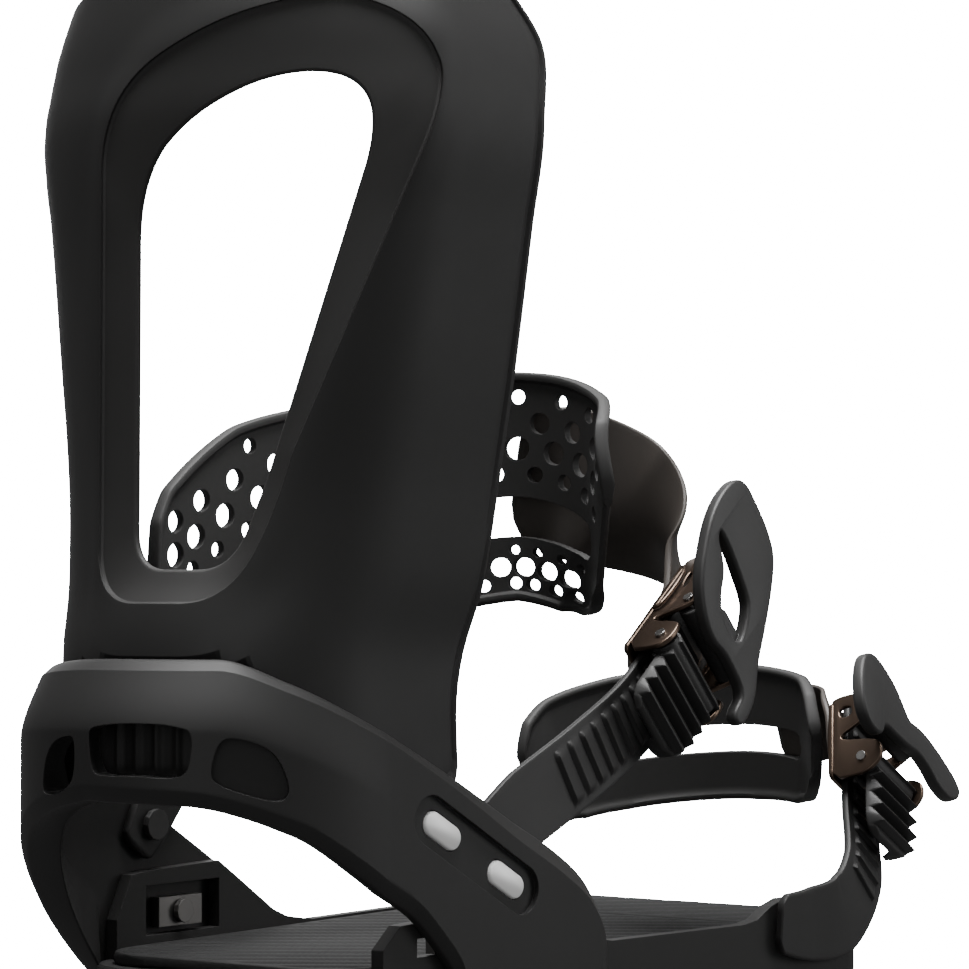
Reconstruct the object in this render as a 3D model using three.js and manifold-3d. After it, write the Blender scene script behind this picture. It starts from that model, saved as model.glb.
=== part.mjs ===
// A strap binding for a right foot: baseplate, heel hoop, folding highback,
// ankle strap and toe strap, each with a ladder and a ratchet buckle.
// Millimetres. +X points to the toe, +Y to the inner side, +Z up.
// The origin is the centre of the mounting disc on the board plane.
import * as THREE from 'three';
import { mergeVertices } from 'three/addons/utils/BufferGeometryUtils.js';
import Module from 'manifold-3d';

const wasm = await Module();
wasm.setup();

// ---- driving dimensions -------------------------------------------------
const GAP = 0.3;                 // clearance between touching pieces
const RAIL_HALF = 53;            // half width over the side rails at RAIL_X
const RAIL_X = -20;
const SPLAY = 0.08;              // how fast the rails open towards the toe
const RAIL_WALL = 4;
const BASE_REAR = -84;
const BASE_FRONT = 157;
const BOARD = -9;                // board plane, below the rail datum that heights use
const PAD_TOP = BOARD + 2.5;     // top of the soft gaskets under the plate
const SLAB_TOP = 8.6;
const FOOTBED_TOP = 12;
const DISC_RADIUS = 47.5;
const DISC_FLANGE = 54;
const DISC_SCREW_PITCH = 40;     // standard 4 x 4 cm board pattern

const HOOP_THICK = 5;
const HOOP_CENTRE = -70;         // where the arms turn into the round heel
const HOOP_DEPTH = 58;
const HOOP_LEAN = 6;             // inward lean of the hoop's top rim
const NEAR_ARM_FRONT = 19;
const FAR_ARM_FRONT = 12;

const SHELL_THICK = 4;           // highback wall
const HIGHBACK_TOP = 278;
const FOLD_X = -68;              // highback hinge
const FOLD_Z = 64;

const LADDER_WIDTH = 22;
const LADDER_THICK = 2.4;
const TOOTH_PITCH = 5.2;

const BLACK = { color: 0x1b1b1c, roughness: 0.55, metalness: 0 };
const SOFT_BLACK = { color: 0x161617, roughness: 0.8, metalness: 0 };
const BRONZE = { color: 0x5b4a3c, roughness: 0.35, metalness: 0.9 };
const STEEL = { color: 0x8a8a8a, roughness: 0.3, metalness: 1 };
const PALE = { color: 0xe9e9e6, roughness: 0.5, metalness: 0 };

const NEAR = -1;
const FAR = 1;

// ---- small helpers --------------------------------------------------------
const binding = new THREE.Group();
binding.position.z = -BOARD;

function add(name, geometry, finish, parent = binding) {
  const mesh = new THREE.Mesh(geometry, new THREE.MeshStandardMaterial(finish));
  mesh.name = name;
  parent.add(mesh);
  return mesh;
}

function solid(geometry) {
  const clean = geometry.index ? geometry.toNonIndexed() : geometry.clone();
  clean.deleteAttribute('normal');
  clean.deleteAttribute('uv');
  const merged = mergeVertices(clean, 1e-3);
  return new wasm.Manifold(new wasm.Mesh({
    numProp: 3,
    vertProperties: new Float32Array(merged.attributes.position.array),
    triVerts: new Uint32Array(merged.index.array),
  }));
}

function geometryOf(manifold) {
  const mesh = manifold.getMesh();
  const geometry = new THREE.BufferGeometry();
  geometry.setAttribute('position', new THREE.BufferAttribute(new Float32Array(mesh.vertProperties), 3));
  geometry.setIndex(new THREE.BufferAttribute(new Uint32Array(mesh.triVerts), 1));
  return geometry;
}

function cut(base, ...tools) {
  return geometryOf(tools.reduce((body, tool) => body.subtract(solid(tool)), solid(base)));
}

function join(base, ...others) {
  return geometryOf(others.reduce((body, other) => body.add(solid(other)), solid(base)));
}

// A curve through [x, y] knots, read by linear steps between them.
function profile(knots) {
  return (x) => {
    if (x <= knots[0][0]) return knots[0][1];
    for (let i = 1; i < knots.length; i += 1) {
      const [x1, y1] = knots[i];
      const [x0, y0] = knots[i - 1];
      if (x <= x1) return y0 + ((y1 - y0) * (x - x0)) / (x1 - x0);
    }
    return knots[knots.length - 1][1];
  };
}

// A closed panel: a box whose u, v, w in 0..1 are sent through a mapping.
function panel(steps, map) {
  const box = new THREE.BoxGeometry(1, 1, 1, steps[0], steps[1], steps[2] ?? 1);
  const position = box.attributes.position;
  const point = new THREE.Vector3();
  for (let i = 0; i < position.count; i += 1) {
    point.fromBufferAttribute(position, i).addScalar(0.5);
    const [x, y, z] = map(point.x, point.y, point.z);
    position.setXYZ(i, x, y, z);
  }
  return box;
}

// The same panel with its faces turned the right way round for its mapping.
function outward(geometry) {
  const clean = geometry.toNonIndexed();
  const p = clean.attributes.position;
  const a = new THREE.Vector3();
  const b = new THREE.Vector3();
  const c = new THREE.Vector3();
  let volume = 0;
  for (let i = 0; i < p.count; i += 3) {
    a.fromBufferAttribute(p, i);
    b.fromBufferAttribute(p, i + 1);
    c.fromBufferAttribute(p, i + 2);
    volume += a.dot(b.cross(c));
  }
  if (volume < 0) {
    for (let i = 0; i < p.count; i += 3) {
      a.fromBufferAttribute(p, i + 1);
      b.fromBufferAttribute(p, i + 2);
      p.setXYZ(i + 1, b.x, b.y, b.z);
      p.setXYZ(i + 2, a.x, a.y, a.z);
    }
  }
  return clean;
}

function plate(shape, depth, bevel = 0) {
  return new THREE.ExtrudeGeometry(shape, {
    depth: depth - 2 * bevel,
    bevelEnabled: bevel > 0,
    bevelThickness: bevel,
    bevelSize: bevel,
    bevelOffset: -bevel,
    bevelSegments: 1,
    curveSegments: 6,
  }).translate(0, 0, bevel);
}

function obround(length, width) {
  const r = width / 2;
  const half = length / 2 - r;
  const shape = new THREE.Shape();
  shape.moveTo(-half, -r);
  shape.lineTo(half, -r);
  shape.absarc(half, 0, r, -Math.PI / 2, Math.PI / 2);
  shape.lineTo(-half, r);
  shape.absarc(-half, 0, r, Math.PI / 2, (3 * Math.PI) / 2);
  return shape;
}

function roundedBox(length, width, radius) {
  const x = length / 2;
  const y = width / 2;
  const shape = new THREE.Shape();
  shape.moveTo(-x + radius, -y);
  shape.lineTo(x - radius, -y);
  shape.absarc(x - radius, -y + radius, radius, -Math.PI / 2, 0);
  shape.lineTo(x, y - radius);
  shape.absarc(x - radius, y - radius, radius, 0, Math.PI / 2);
  shape.lineTo(-x + radius, y);
  shape.absarc(-x + radius, y - radius, radius, Math.PI / 2, Math.PI);
  shape.lineTo(-x, -y + radius);
  shape.absarc(-x + radius, -y + radius, radius, Math.PI, 1.5 * Math.PI);
  return shape;
}

// Basis matrix with columns along, across and out, at a point.
function place(at, along, across) {
  const t = new THREE.Vector3(...along).normalize();
  const n = new THREE.Vector3().crossVectors(t, new THREE.Vector3(...across)).normalize();
  const b = new THREE.Vector3().crossVectors(n, t);
  return new THREE.Matrix4().makeBasis(t, b, n).setPosition(...at);
}

// A pin or screw along its local Z, turned from [radius, z] steps.
function turned(steps, segments = 12) {
  const points = steps.map(([r, z]) => new THREE.Vector2(r, z));
  return new THREE.LatheGeometry(points, segments).rotateX(Math.PI / 2);
}

// ---- rails, arms and plan shapes ------------------------------------------
const railHalf = (x) => RAIL_HALF + SPLAY * (x - RAIL_X);

const TOWER_TOP = { [NEAR]: 24, [FAR]: 33 };

function railTop(side) {
  const tower = TOWER_TOP[side];
  return profile([
    [BASE_REAR, 10], [-70, 14], [-60, tower - 1], [-20, tower], [10, 15], [26, 12.5],
    [92, 12.5], [104, 19], [118, 19], [130, 12], [BASE_FRONT, 9],
  ]);
}

function basePlan(inset) {
  const shape = new THREE.Shape();
  const rearHalf = railHalf(BASE_REAR) - inset;
  const frontHalf = railHalf(BASE_FRONT) - inset;
  const rear = BASE_REAR + inset;
  const front = BASE_FRONT - inset;
  const corner = 24 - inset;
  shape.moveTo(rear + corner, -railHalf(rear + corner) + inset);
  shape.lineTo(front - corner, -railHalf(front - corner) + inset);
  shape.quadraticCurveTo(front, -frontHalf, front, -frontHalf + corner);
  shape.lineTo(front, frontHalf - corner);
  shape.quadraticCurveTo(front, frontHalf, front - corner, railHalf(front - corner) - inset);
  shape.lineTo(rear + corner, railHalf(rear + corner) - inset);
  shape.quadraticCurveTo(rear, rearHalf, rear, rearHalf - corner);
  shape.lineTo(rear, -rearHalf + corner);
  shape.quadraticCurveTo(rear, -rearHalf, rear + corner, -railHalf(rear + corner) + inset);
  return shape;
}

function disc(radius, z0, z1, segments = 40) {
  return new THREE.CylinderGeometry(radius, radius, z1 - z0, segments)
    .rotateX(Math.PI / 2).translate(0, 0, (z0 + z1) / 2);
}

function block(x0, x1, y0, y1, z0, z1) {
  return new THREE.BoxGeometry(x1 - x0, y1 - y0, z1 - z0)
    .translate((x0 + x1) / 2, (y0 + y1) / 2, (z0 + z1) / 2);
}

// ---- base -----------------------------------------------------------------
const WINDOW = { x0: -54, x1: -20, z0: 14 };
const TOE_ANCHOR = { x: 111, z: 13 };

// A block through one side wall, from well inside to well outside.
function wallBlock(side, x0, x1, z0, z1, from = 40, to = 75) {
  const ends = [side * from, side * to].sort((a, b) => a - b);
  return block(x0, x1, ends[0], ends[1], z0, z1);
}

function rail(side) {
  const top = railTop(side);
  const first = BASE_REAR + 17;
  const last = BASE_FRONT - 23;
  const body = outward(panel([30, 1], (u, v, w) => {
    const x = first + (last - first) * u;
    const z = SLAB_TOP - 2 + (top(x) - SLAB_TOP + 2) * v;
    return [x, side * (railHalf(x) - RAIL_WALL * w), z];
  }));
  const window = wallBlock(side, WINDOW.x0, WINDOW.x1, WINDOW.z0, TOWER_TOP[side] - 5);
  return solid(body).subtract(solid(window));
}

function baseplate() {
  const slab = plate(basePlan(0), SLAB_TOP - PAD_TOP - GAP, 0.8).translate(0, 0, PAD_TOP + GAP);
  let body = solid(slab);
  body = body.add(rail(NEAR)).add(rail(FAR));
  body = body.subtract(solid(disc(DISC_RADIUS + 0.6, BOARD, SLAB_TOP + 1)));
  body = body.subtract(solid(disc(DISC_FLANGE + 0.6, 4.2, SLAB_TOP + 1)));
  for (const side of [NEAR, FAR]) {
    const wall = side * railHalf(TOE_ANCHOR.x);
    const seat = side * (railHalf(TOE_ANCHOR.x) - RAIL_WALL);
    body = body.subtract(solid(crossBore(2.8, TOE_ANCHOR.x, wall, TOE_ANCHOR.z, 12)));
    body = body.subtract(solid(crossBore(4.9, TOE_ANCHOR.x, seat, TOE_ANCHOR.z, 2)));
  }
  add('baseplate', geometryOf(body), BLACK);
}

function gaskets() {
  const whole = plate(basePlan(3), PAD_TOP - BOARD, 0).translate(0, 0, BOARD);
  const hole = disc(DISC_RADIUS + 4, BOARD - 1, PAD_TOP + 1);
  const ends = { gasket_heel: [-100, -14], gasket_toe: [14, 170] };
  for (const [name, [x0, x1]] of Object.entries(ends)) {
    const body = solid(whole).subtract(solid(hole));
    add(name, geometryOf(body.intersect(solid(block(x0, x1, -90, 90, BOARD - 1, 5)))), SOFT_BLACK);
  }
}

const SCREW_SPOTS = [[1, 1], [1, -1], [-1, 1], [-1, -1]]
  .map(([i, j]) => [(i * DISC_SCREW_PITCH) / 2, (j * DISC_SCREW_PITCH) / 2]);

const DISC_TOP = 7;
const SCREW_SEAT = 0;

function mountingDisc() {
  const body = turned([
    [0, BOARD], [DISC_RADIUS, BOARD], [DISC_RADIUS, 4.5], [DISC_FLANGE, 4.5],
    [DISC_FLANGE, DISC_TOP], [0, DISC_TOP],
  ], 40);
  const bores = SCREW_SPOTS.map(([x, y]) => turned([
    [0, BOARD - 1], [3.3, BOARD - 1], [3.3, SCREW_SEAT], [6.8, SCREW_SEAT], [6.8, 10], [0, 10],
  ]).translate(x, y, 0));
  add('mounting_disc', cut(body, ...bores), BLACK);
  SCREW_SPOTS.forEach(([x, y], i) => {
    const screw = turned([
      [0, BOARD + 0.5], [3, BOARD + 0.5], [3, SCREW_SEAT + GAP], [6.3, SCREW_SEAT + GAP],
      [6.3, 3], [4.5, 4.6], [0, 4.6],
    ]);
    const cross = [block(-3.4, 3.4, -0.6, 0.6, 2.6, 6), block(-0.6, 0.6, -3.4, 3.4, 2.6, 6)];
    add(`disc_screw_${i + 1}`, cut(screw, ...cross), STEEL).position.set(x, y, 0);
  });
}

function footbeds() {
  const inner = RAIL_WALL + 0.5;
  const outline = plate(basePlan(inner), FOOTBED_TOP - SLAB_TOP - GAP, 0.8)
    .translate(0, 0, SLAB_TOP + GAP);
  const body = solid(outline).intersect(solid(block(-100, 98, -90, 90, 0, 30)));
  add('footbed_pad', geometryOf(body), SOFT_BLACK);
  const ramp = outward(panel([10, 1], (u, v, w) => {
    const x = 99 + 48 * u;
    const half = railHalf(x) - inner - 9 * Math.max(0, u - 0.55) ** 2 * 5 - 1;
    const top = FOOTBED_TOP + 1.6 * Math.sin((Math.PI * u) / 2) - 3 * Math.max(0, u - 0.7) ** 2 * 10;
    return [x, half * (2 * w - 1), SLAB_TOP + GAP + (top - SLAB_TOP - GAP) * v];
  }));
  add('toe_ramp_pad', ramp, SOFT_BLACK);
}

// ---- heel hoop --------------------------------------------------------------
const nearTop = profile([
  [-70, 74], [-41, 60], [-19, 48.5], [-2, 40], [10, 32], [15, 26], [NEAR_ARM_FRONT, 17],
]);
const nearLow = profile([
  [-70, 31], [-59, 25], [-49, 16], [-42, 8], [-38, -2], [NEAR_ARM_FRONT, -4],
]);
const farLow = profile([[-70, 4], [-60, -3], [FAR_ARM_FRONT, -4]]);
const heelTop = profile([[0, 94], [38, 94], [60, 87], [90, 74]]);
const heelLow = {
  [NEAR]: profile([[0, 57], [30, 56], [60, 48], [80, 37], [90, 31]]),
  [FAR]: profile([[0, 57], [15, 53], [30, 45], [50, 31], [70, 17], [90, 4]]),
};
const heelFlange = profile([[-90, 7], [-15, 5], [20, 2], [90, 1.5]]);

// Hoop in plan, by u from near front to far front: point, normal, rim heights.
function hoopPlan(u) {
  const arm = 0.36;
  const armLine = (x) => railHalf(x) + GAP + HOOP_THICK;
  if (u < arm) {
    const x = NEAR_ARM_FRONT + ((HOOP_CENTRE - NEAR_ARM_FRONT) * u) / arm;
    return {
      x, y: -armLine(x), nx: 0, ny: -1, top: nearTop(x), low: nearLow(x), lean: 0, flange: 0,
    };
  }
  if (u > 1 - arm) {
    const x = FAR_ARM_FRONT + ((HOOP_CENTRE - FAR_ARM_FRONT) * (1 - u)) / arm;
    return {
      x, y: armLine(x), nx: 0, ny: 1, top: nearTop(x + 13) - 2, low: farLow(x), lean: 0, flange: 0,
    };
  }
  const phi = Math.PI * (0.5 - (u - arm) / (1 - 2 * arm));
  const degrees = THREE.MathUtils.radToDeg(phi);
  const side = phi > 0 ? NEAR : FAR;
  const fade = phi < 0 ? 1 - Math.cos(phi) : 0;
  return {
    x: HOOP_CENTRE - HOOP_DEPTH * Math.cos(phi),
    y: -armLine(HOOP_CENTRE) * Math.sin(phi),
    nx: -Math.cos(phi),
    ny: -Math.sin(phi),
    top: heelTop(Math.abs(degrees)) - 8.4 * fade,
    low: heelLow[side](Math.abs(degrees)),
    lean: Math.cos(phi),
    flange: heelFlange(degrees) * Math.cos(phi) ** 0.3,
  };
}

function hoopPoint(u, v, w) {
  const p = hoopPlan(u);
  const z = p.low + (p.top - p.low) * v;
  const rim = Math.max(0, 1 - (p.top - z) / 18);
  const foot = p.flange * Math.max(0, 1 - v / 0.34);
  const chamfer = v > 0.98 ? 1.2 * (1 - w) : 0;
  const inward = (HOOP_THICK + foot) * w + HOOP_LEAN * p.lean * rim * rim + chamfer;
  return [p.x - p.nx * inward, p.y - p.ny * inward, z];
}

const PEGS = [[-51, 47.5], [-25.5, 32.8]];
const PEG_TILT = Math.atan2(PEGS[1][1] - PEGS[0][1], PEGS[1][0] - PEGS[0][0]);

function heelWindow(from, to, z0, z1) {
  const middle = ((from + to) / 2) * (Math.PI / 180);
  const width = 56 * (to - from) * (Math.PI / 180);
  return plate(roundedBox(width, z1 - z0, 4.5), 60)
    .rotateX(Math.PI / 2).translate(0, 60, 0)
    .rotateZ(middle - Math.PI / 2).translate(0, 0, (z0 + z1) / 2)
    .applyMatrix4(new THREE.Matrix4().makeTranslation(HOOP_CENTRE - 30 * Math.cos(middle),
      -30 * Math.sin(middle), 0));
}

function sidePrism(shape, depth, x, y, z, turn = 0) {
  return plate(shape, depth).rotateZ(turn).rotateX(Math.PI / 2).translate(x, y, z);
}

const armInner = (x) => railHalf(x) + GAP;
const CLAMP_X = -38;
const CLAMP_Z = { [NEAR]: 16.5, [FAR]: 20 };
const FAR_ANCHOR = { x: -50, z: 45 };

// A round bore along Y, centred on a side wall, this far to each side.
function crossBore(radius, x, y, z, reach) {
  return turned([[0, -reach], [radius, -reach], [radius, reach], [0, reach]])
    .rotateX(Math.PI / 2).translate(x, y, z);
}

function heelHoop() {
  const band = outward(panel([62, 5], hoopPoint));
  const tools = [
    heelWindow(-21, -10, 60, 75),
    heelWindow(-2.5, 28, 62, 76),
  ];
  for (const [x, z] of PEGS) {
    tools.push(sidePrism(obround(15.6, 7.2), 90, x, -20, z, PEG_TILT));
  }
  const middle = [(PEGS[0][0] + PEGS[1][0]) / 2, (PEGS[0][1] + PEGS[1][1]) / 2];
  tools.push(sidePrism(obround(58, 15), 20, middle[0], -railHalf(middle[0]) - GAP - 3.6,
    middle[1], PEG_TILT));
  for (const side of [NEAR, FAR]) {
    tools.push(crossBore(3.4, FOLD_X, side * armInner(FOLD_X), FOLD_Z, 3));
    tools.push(crossBore(1.9, CLAMP_X, side * armInner(CLAMP_X), CLAMP_Z[side], 3));
  }
  tools.push(crossBore(2.8, FAR_ANCHOR.x, armInner(FAR_ANCHOR.x), FAR_ANCHOR.z, 3));
  add('heel_hoop', cut(band, ...tools), BLACK);
}

// Block and screw that clamp the hoop arm to the rail, worked from the inside.
function hoopFastenings() {
  for (const side of [NEAR, FAR]) {
    const where = side === NEAR ? 'near' : 'far';
    const z = CLAMP_Z[side];
    const wall = side * railHalf(CLAMP_X);
    const half = side === NEAR ? 2.1 : 4.2;
    const inner = wall - side * (RAIL_WALL - 0.1);
    const outer = side * (railHalf(CLAMP_X - 9) - GAP);
    const ends = [inner, outer].sort((a, b) => a - b);
    const body = block(CLAMP_X - 9, CLAMP_X + 9, ends[0], ends[1], z - half, z + half);
    add(`hoop_clamp_block_${where}`, cut(body, crossBore(1.9, CLAMP_X, wall, z, 12)), STEEL);
    const screw = turned([
      [0, -2], [3.4, -2], [3.4, -GAP], [1.5, -GAP], [1.5, 6], [0, 6],
    ]).rotateX((-side * Math.PI) / 2).translate(CLAMP_X, inner, z);
    add(`hoop_clamp_screw_${where}`, screw, STEEL);
  }
}

// The two pale pegs that hold the root of the ankle ladder in the near arm.
function pegs() {
  PEGS.forEach(([x, z], i) => {
    const peg = plate(obround(15, 6.6), HOOP_THICK - 0.8, 0.5)
      .rotateZ(PEG_TILT).rotateX(Math.PI / 2).translate(x, -armInner(x) - 0.2, z);
    add(`ladder_peg_${i + 1}`, peg, PALE);
  });
}

// ---- highback -----------------------------------------------------------------
const SHELL_FOOT = 57;
const shellCentre = profile([
  [60, -68], [92, -68], [114, -63], [140, -60.6], [171, -59.6], [208, -58.8],
  [236, -59.3], [253, -57.3], [HIGHBACK_TOP, -55],
]);
const shellDepth = profile([
  [92, 46], [114, 45.5], [171, 45], [208, 45], [253, 42], [HIGHBACK_TOP, 38],
]);
const shellHalf = profile([
  [70, 48], [92, 48.4], [114, 52], [140, 55.5], [171, 60.5], [208, 66], [236, 70], [253, 69],
  [HIGHBACK_TOP, 62],
]);
const nearEdge = profile([
  [60, -33], [79, -34], [114, -26.6], [140, -24.6], [171, -23.8], [236, -23.6], [253, -21.6],
  [HIGHBACK_TOP, -28],
]);
const farEdge = profile([[60, -57], [78, -58], [100, -63], [140, -58], [HIGHBACK_TOP, -50]]);
const shellCrown = profile([
  [0, 236], [0.05, 254], [0.12, 266], [0.22, 273], [0.4, HIGHBACK_TOP], [0.85, HIGHBACK_TOP],
  [0.95, 275], [1, 266],
]);
const ARC_FROM = 0.08;
const ARC_TO = 0.8;

// Point on the highback: q from far edge to near edge, height z, inset from the outside.
function shellPoint(q, z, inset) {
  const cx = shellCentre(z);
  const depth = shellDepth(z);
  const half = shellHalf(z);
  if (q < ARC_FROM) {
    return [cx + (farEdge(z) - cx) * (1 - q / ARC_FROM), half - inset, z];
  }
  if (q > ARC_TO) {
    return [cx + ((nearEdge(z) - cx) * (q - ARC_TO)) / (1 - ARC_TO), -half + inset, z];
  }
  const phi = Math.PI * ((q - ARC_FROM) / (ARC_TO - ARC_FROM) - 0.5);
  const nx = Math.cos(phi) / depth;
  const ny = Math.sin(phi) / half;
  const scale = inset / Math.hypot(nx, ny);
  return [
    cx - depth * Math.cos(phi) + nx * scale,
    -half * Math.sin(phi) + ny * scale,
    z,
  ];
}

function windowOutline() {
  const shape = new THREE.Shape();
  shape.moveTo(-32, 150);
  shape.quadraticCurveTo(-32, 114, -17, 114);
  shape.quadraticCurveTo(-4, 115, 2.5, 142);
  shape.lineTo(26.5, 224);
  shape.quadraticCurveTo(32, 246, 8, 246);
  shape.quadraticCurveTo(-14, 245, -24, 234);
  shape.quadraticCurveTo(-32, 224, -32, 200);
  return shape;
}

const WINDOW_TURN = THREE.MathUtils.degToRad(40);

// The window's outline pushed outwards from the highback's axis, turned to the near side.
function windowPrism() {
  const basis = new THREE.Matrix4().makeBasis(
    new THREE.Vector3(Math.sin(WINDOW_TURN), -Math.cos(WINDOW_TURN), 0),
    new THREE.Vector3(0, 0, 1),
    new THREE.Vector3(-Math.cos(WINDOW_TURN), -Math.sin(WINDOW_TURN), 0),
  ).setPosition(-58, 0, 0);
  return plate(windowOutline(), 90).applyMatrix4(basis);
}

function highback() {
  const shell = outward(panel([30, 14], (u, v, w) => {
    const z = SHELL_FOOT + (shellCrown(u) - SHELL_FOOT) * v;
    return shellPoint(u, z, SHELL_THICK * w);
  }));
  const hinges = [NEAR, FAR].map((side) => crossBore(2.8, FOLD_X, side * 46, FOLD_Z, 12));
  add('highback', cut(shell, windowPrism(), ...hinges), BLACK);
}

function forwardLean() {
  const body = outward(panel([16, 1], (u, v, w) => {
    const q = 0.42 + 0.14 * u;
    const z = 62 + 18 * v;
    return shellPoint(q, z, -GAP - 4.5 * w);
  }));
  const bore = turned([[0, -20], [2.2, -20], [2.2, 20], [0, 20]], 16)
    .rotateY(Math.PI / 2).translate(-118, 0, 71);
  add('forward_lean_block', cut(body, bore), BLACK);
}

function hingePins() {
  for (const side of [NEAR, FAR]) {
    const pin = turned([
      [0, 0], [4.4, 0], [4.4, 1.8], [2.5, 1.8], [2.5, 9.4], [0, 9.4],
    ]).rotateX((-side * Math.PI) / 2).translate(FOLD_X, side * 41.5, FOLD_Z);
    add(`highback_hinge_pin_${side === NEAR ? 'near' : 'far'}`, pin, STEEL);
  }
}

// ---- straps -------------------------------------------------------------------
// A band swept along a curve: path points, an outward direction and a width at
// each knot, all read smoothly along the length.
function ribbon(knots, steps, thickness, relief = () => 0, wall = 1) {
  const path = new THREE.CatmullRomCurve3(knots.map((k) => new THREE.Vector3(...k.at)));
  const across = new THREE.CatmullRomCurve3(knots.map((k) => new THREE.Vector3(...k.across)));
  const width = profile(knots.map((k, i) => [i / (knots.length - 1), k.width]));
  return outward(panel([steps, wall], (u, v, w) => {
    const at = path.getPoint(u);
    const tangent = path.getTangent(u);
    const side = across.getPoint(u).normalize();
    const out = new THREE.Vector3().crossVectors(tangent, side).normalize();
    const b = new THREE.Vector3().crossVectors(out, tangent);
    const lift = thickness * (w - 0.5) + (w > 0.5 ? relief(u, v) : 0);
    at.addScaledVector(b, width(u) * (v - 0.5)).addScaledVector(out, lift);
    return [at.x, at.y, at.z];
  }));
}

const ANKLE_ACROSS = [-0.56, 0.12, 0.81];
const ANKLE_BUCKLE = place([67, -52, 91], [0.8, 0.02, 0.6], ANKLE_ACROSS);
const TOE_ACROSS = [-0.88, 0, 0.49];
const TOE_BUCKLE = place([171, -52.5, 58], [0.47, 0.28, 0.84], TOE_ACROSS);

function sawtooth(length, from, height) {
  return (u) => {
    const along = u * length - from;
    if (along < 0) return 0;
    return height * (1 - ((along / TOOTH_PITCH) % 1));
  };
}

const LADDER_ACROSS = [-0.44, 0.16, 0.88];

function ankleLadder() {
  const knots = [
    { at: [-46, -48.7, 40], across: LADDER_ACROSS, width: 10 },
    { at: [-28, -49, 41], across: LADDER_ACROSS, width: 16 },
    { at: [-6, -50.4, 51], across: LADDER_ACROSS, width: LADDER_WIDTH },
    { at: [22, -51.4, 63.5], across: LADDER_ACROSS, width: LADDER_WIDTH },
    { at: [46, -51.3, 75.6], across: ANKLE_ACROSS, width: LADDER_WIDTH },
    { at: [66, -50.8, 90.3], across: ANKLE_ACROSS, width: LADDER_WIDTH },
    { at: [86, -50.2, 105.3], across: ANKLE_ACROSS, width: LADDER_WIDTH - 3 },
  ];
  add('ankle_ladder', ribbon(knots, 108, LADDER_THICK, sawtooth(190, 62, 1.2)), BLACK);
}

const PAD_KNOTS = [
  { at: [-50, 44, 104], across: [-0.1, 0, 1], width: 34 },
  { at: [-34, 45.5, 114], across: [-0.12, 0, 1], width: 58 },
  { at: [-8, 45, 126], across: [-0.1, 0, 1], width: 68 },
  { at: [24, 41, 133], across: [0, 0, 1], width: 68 },
  { at: [52, 27, 139], across: [0, 0, 1], width: 70 },
  { at: [66, 2, 142], across: [-0.05, 0, 1], width: 69 },
  { at: [65, -20, 136], across: [-0.1, 0, 1], width: 70 },
  { at: [54, -35, 124], across: [-0.1, 0, 1], width: 66 },
];

function anklePad() {
  const pad = ribbon(PAD_KNOTS, 30, 4.5, undefined, 2);
  const opening = ribbon(PAD_KNOTS.slice(2).map((k) => ({
    at: [k.at[0], k.at[1], k.at[2] - 8], across: k.across, width: 12,
  })), 24, 20);
  add('ankle_pad', cut(pad, opening), SOFT_BLACK);
}

// ---- buckles ------------------------------------------------------------------
// In a buckle's own frame X runs up the ladder, Y across it and Z outwards; the
// ladder's outer face is at zero.
const CHEEK_IN = 13.6;
const CHEEK_WALL = 1.6;
const RATCHET_PIN = { x: 8, z: 8 };
const RELEASE_PIN = { x: -9, z: 7 };
const FLOOR_TOP = -3;
const RIVET_X = 5;

function axle(radius, length, x, z, sides = 16) {
  return turned([
    [0, -length / 2], [radius, -length / 2], [radius, length / 2], [0, length / 2],
  ], sides).rotateX(Math.PI / 2).translate(x, 0, z);
}

// A shape drawn in X and Z, thickened along Y.
function across(shape, y0, y1, bevel = 0) {
  return plate(shape, y1 - y0, bevel).rotateX(Math.PI / 2).translate(0, y1, 0);
}

function outline(points) {
  return new THREE.Shape(points.map(([x, y]) => new THREE.Vector2(x, y)));
}

function circle(x, z, radius) {
  const shape = new THREE.Shape();
  shape.absarc(x, z, radius, 0, 2 * Math.PI);
  return shape;
}

// Bore for the rivet that joins the frame to the strap under it.
function rivetBore() {
  return turned([[0, -12], [2.1, -12], [2.1, -1], [0, -1]]).translate(RIVET_X, 0, 0);
}

function buckleFrame() {
  const floor = across(outline([
    [-15, FLOOR_TOP - 1.6], [19, FLOOR_TOP - 1.6], [19, FLOOR_TOP], [-15, FLOOR_TOP],
  ]), -CHEEK_IN - CHEEK_WALL, CHEEK_IN + CHEEK_WALL);
  const cheekShape = outline([
    [-15, FLOOR_TOP - 1.6], [19, FLOOR_TOP - 1.6], [19, 1], [14, 10], [10, 12.5], [5, 12.5],
    [0, 9.5], [-5, 11.5], [-12, 11.5], [-15, 8],
  ]);
  const upper = across(cheekShape, CHEEK_IN, CHEEK_IN + CHEEK_WALL);
  const lower = across(cheekShape, -CHEEK_IN - CHEEK_WALL, -CHEEK_IN);
  const slot = across(outline([[-4, 1.4], [5, 1.4], [3.5, 4.4], [-5.5, 4.4]]), -20, 20);
  const bores = [RATCHET_PIN, RELEASE_PIN].map(({ x, z }) => axle(1.9, 60, x, z));
  return cut(join(floor, upper, lower), slot, ...bores, rivetBore());
}

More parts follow.
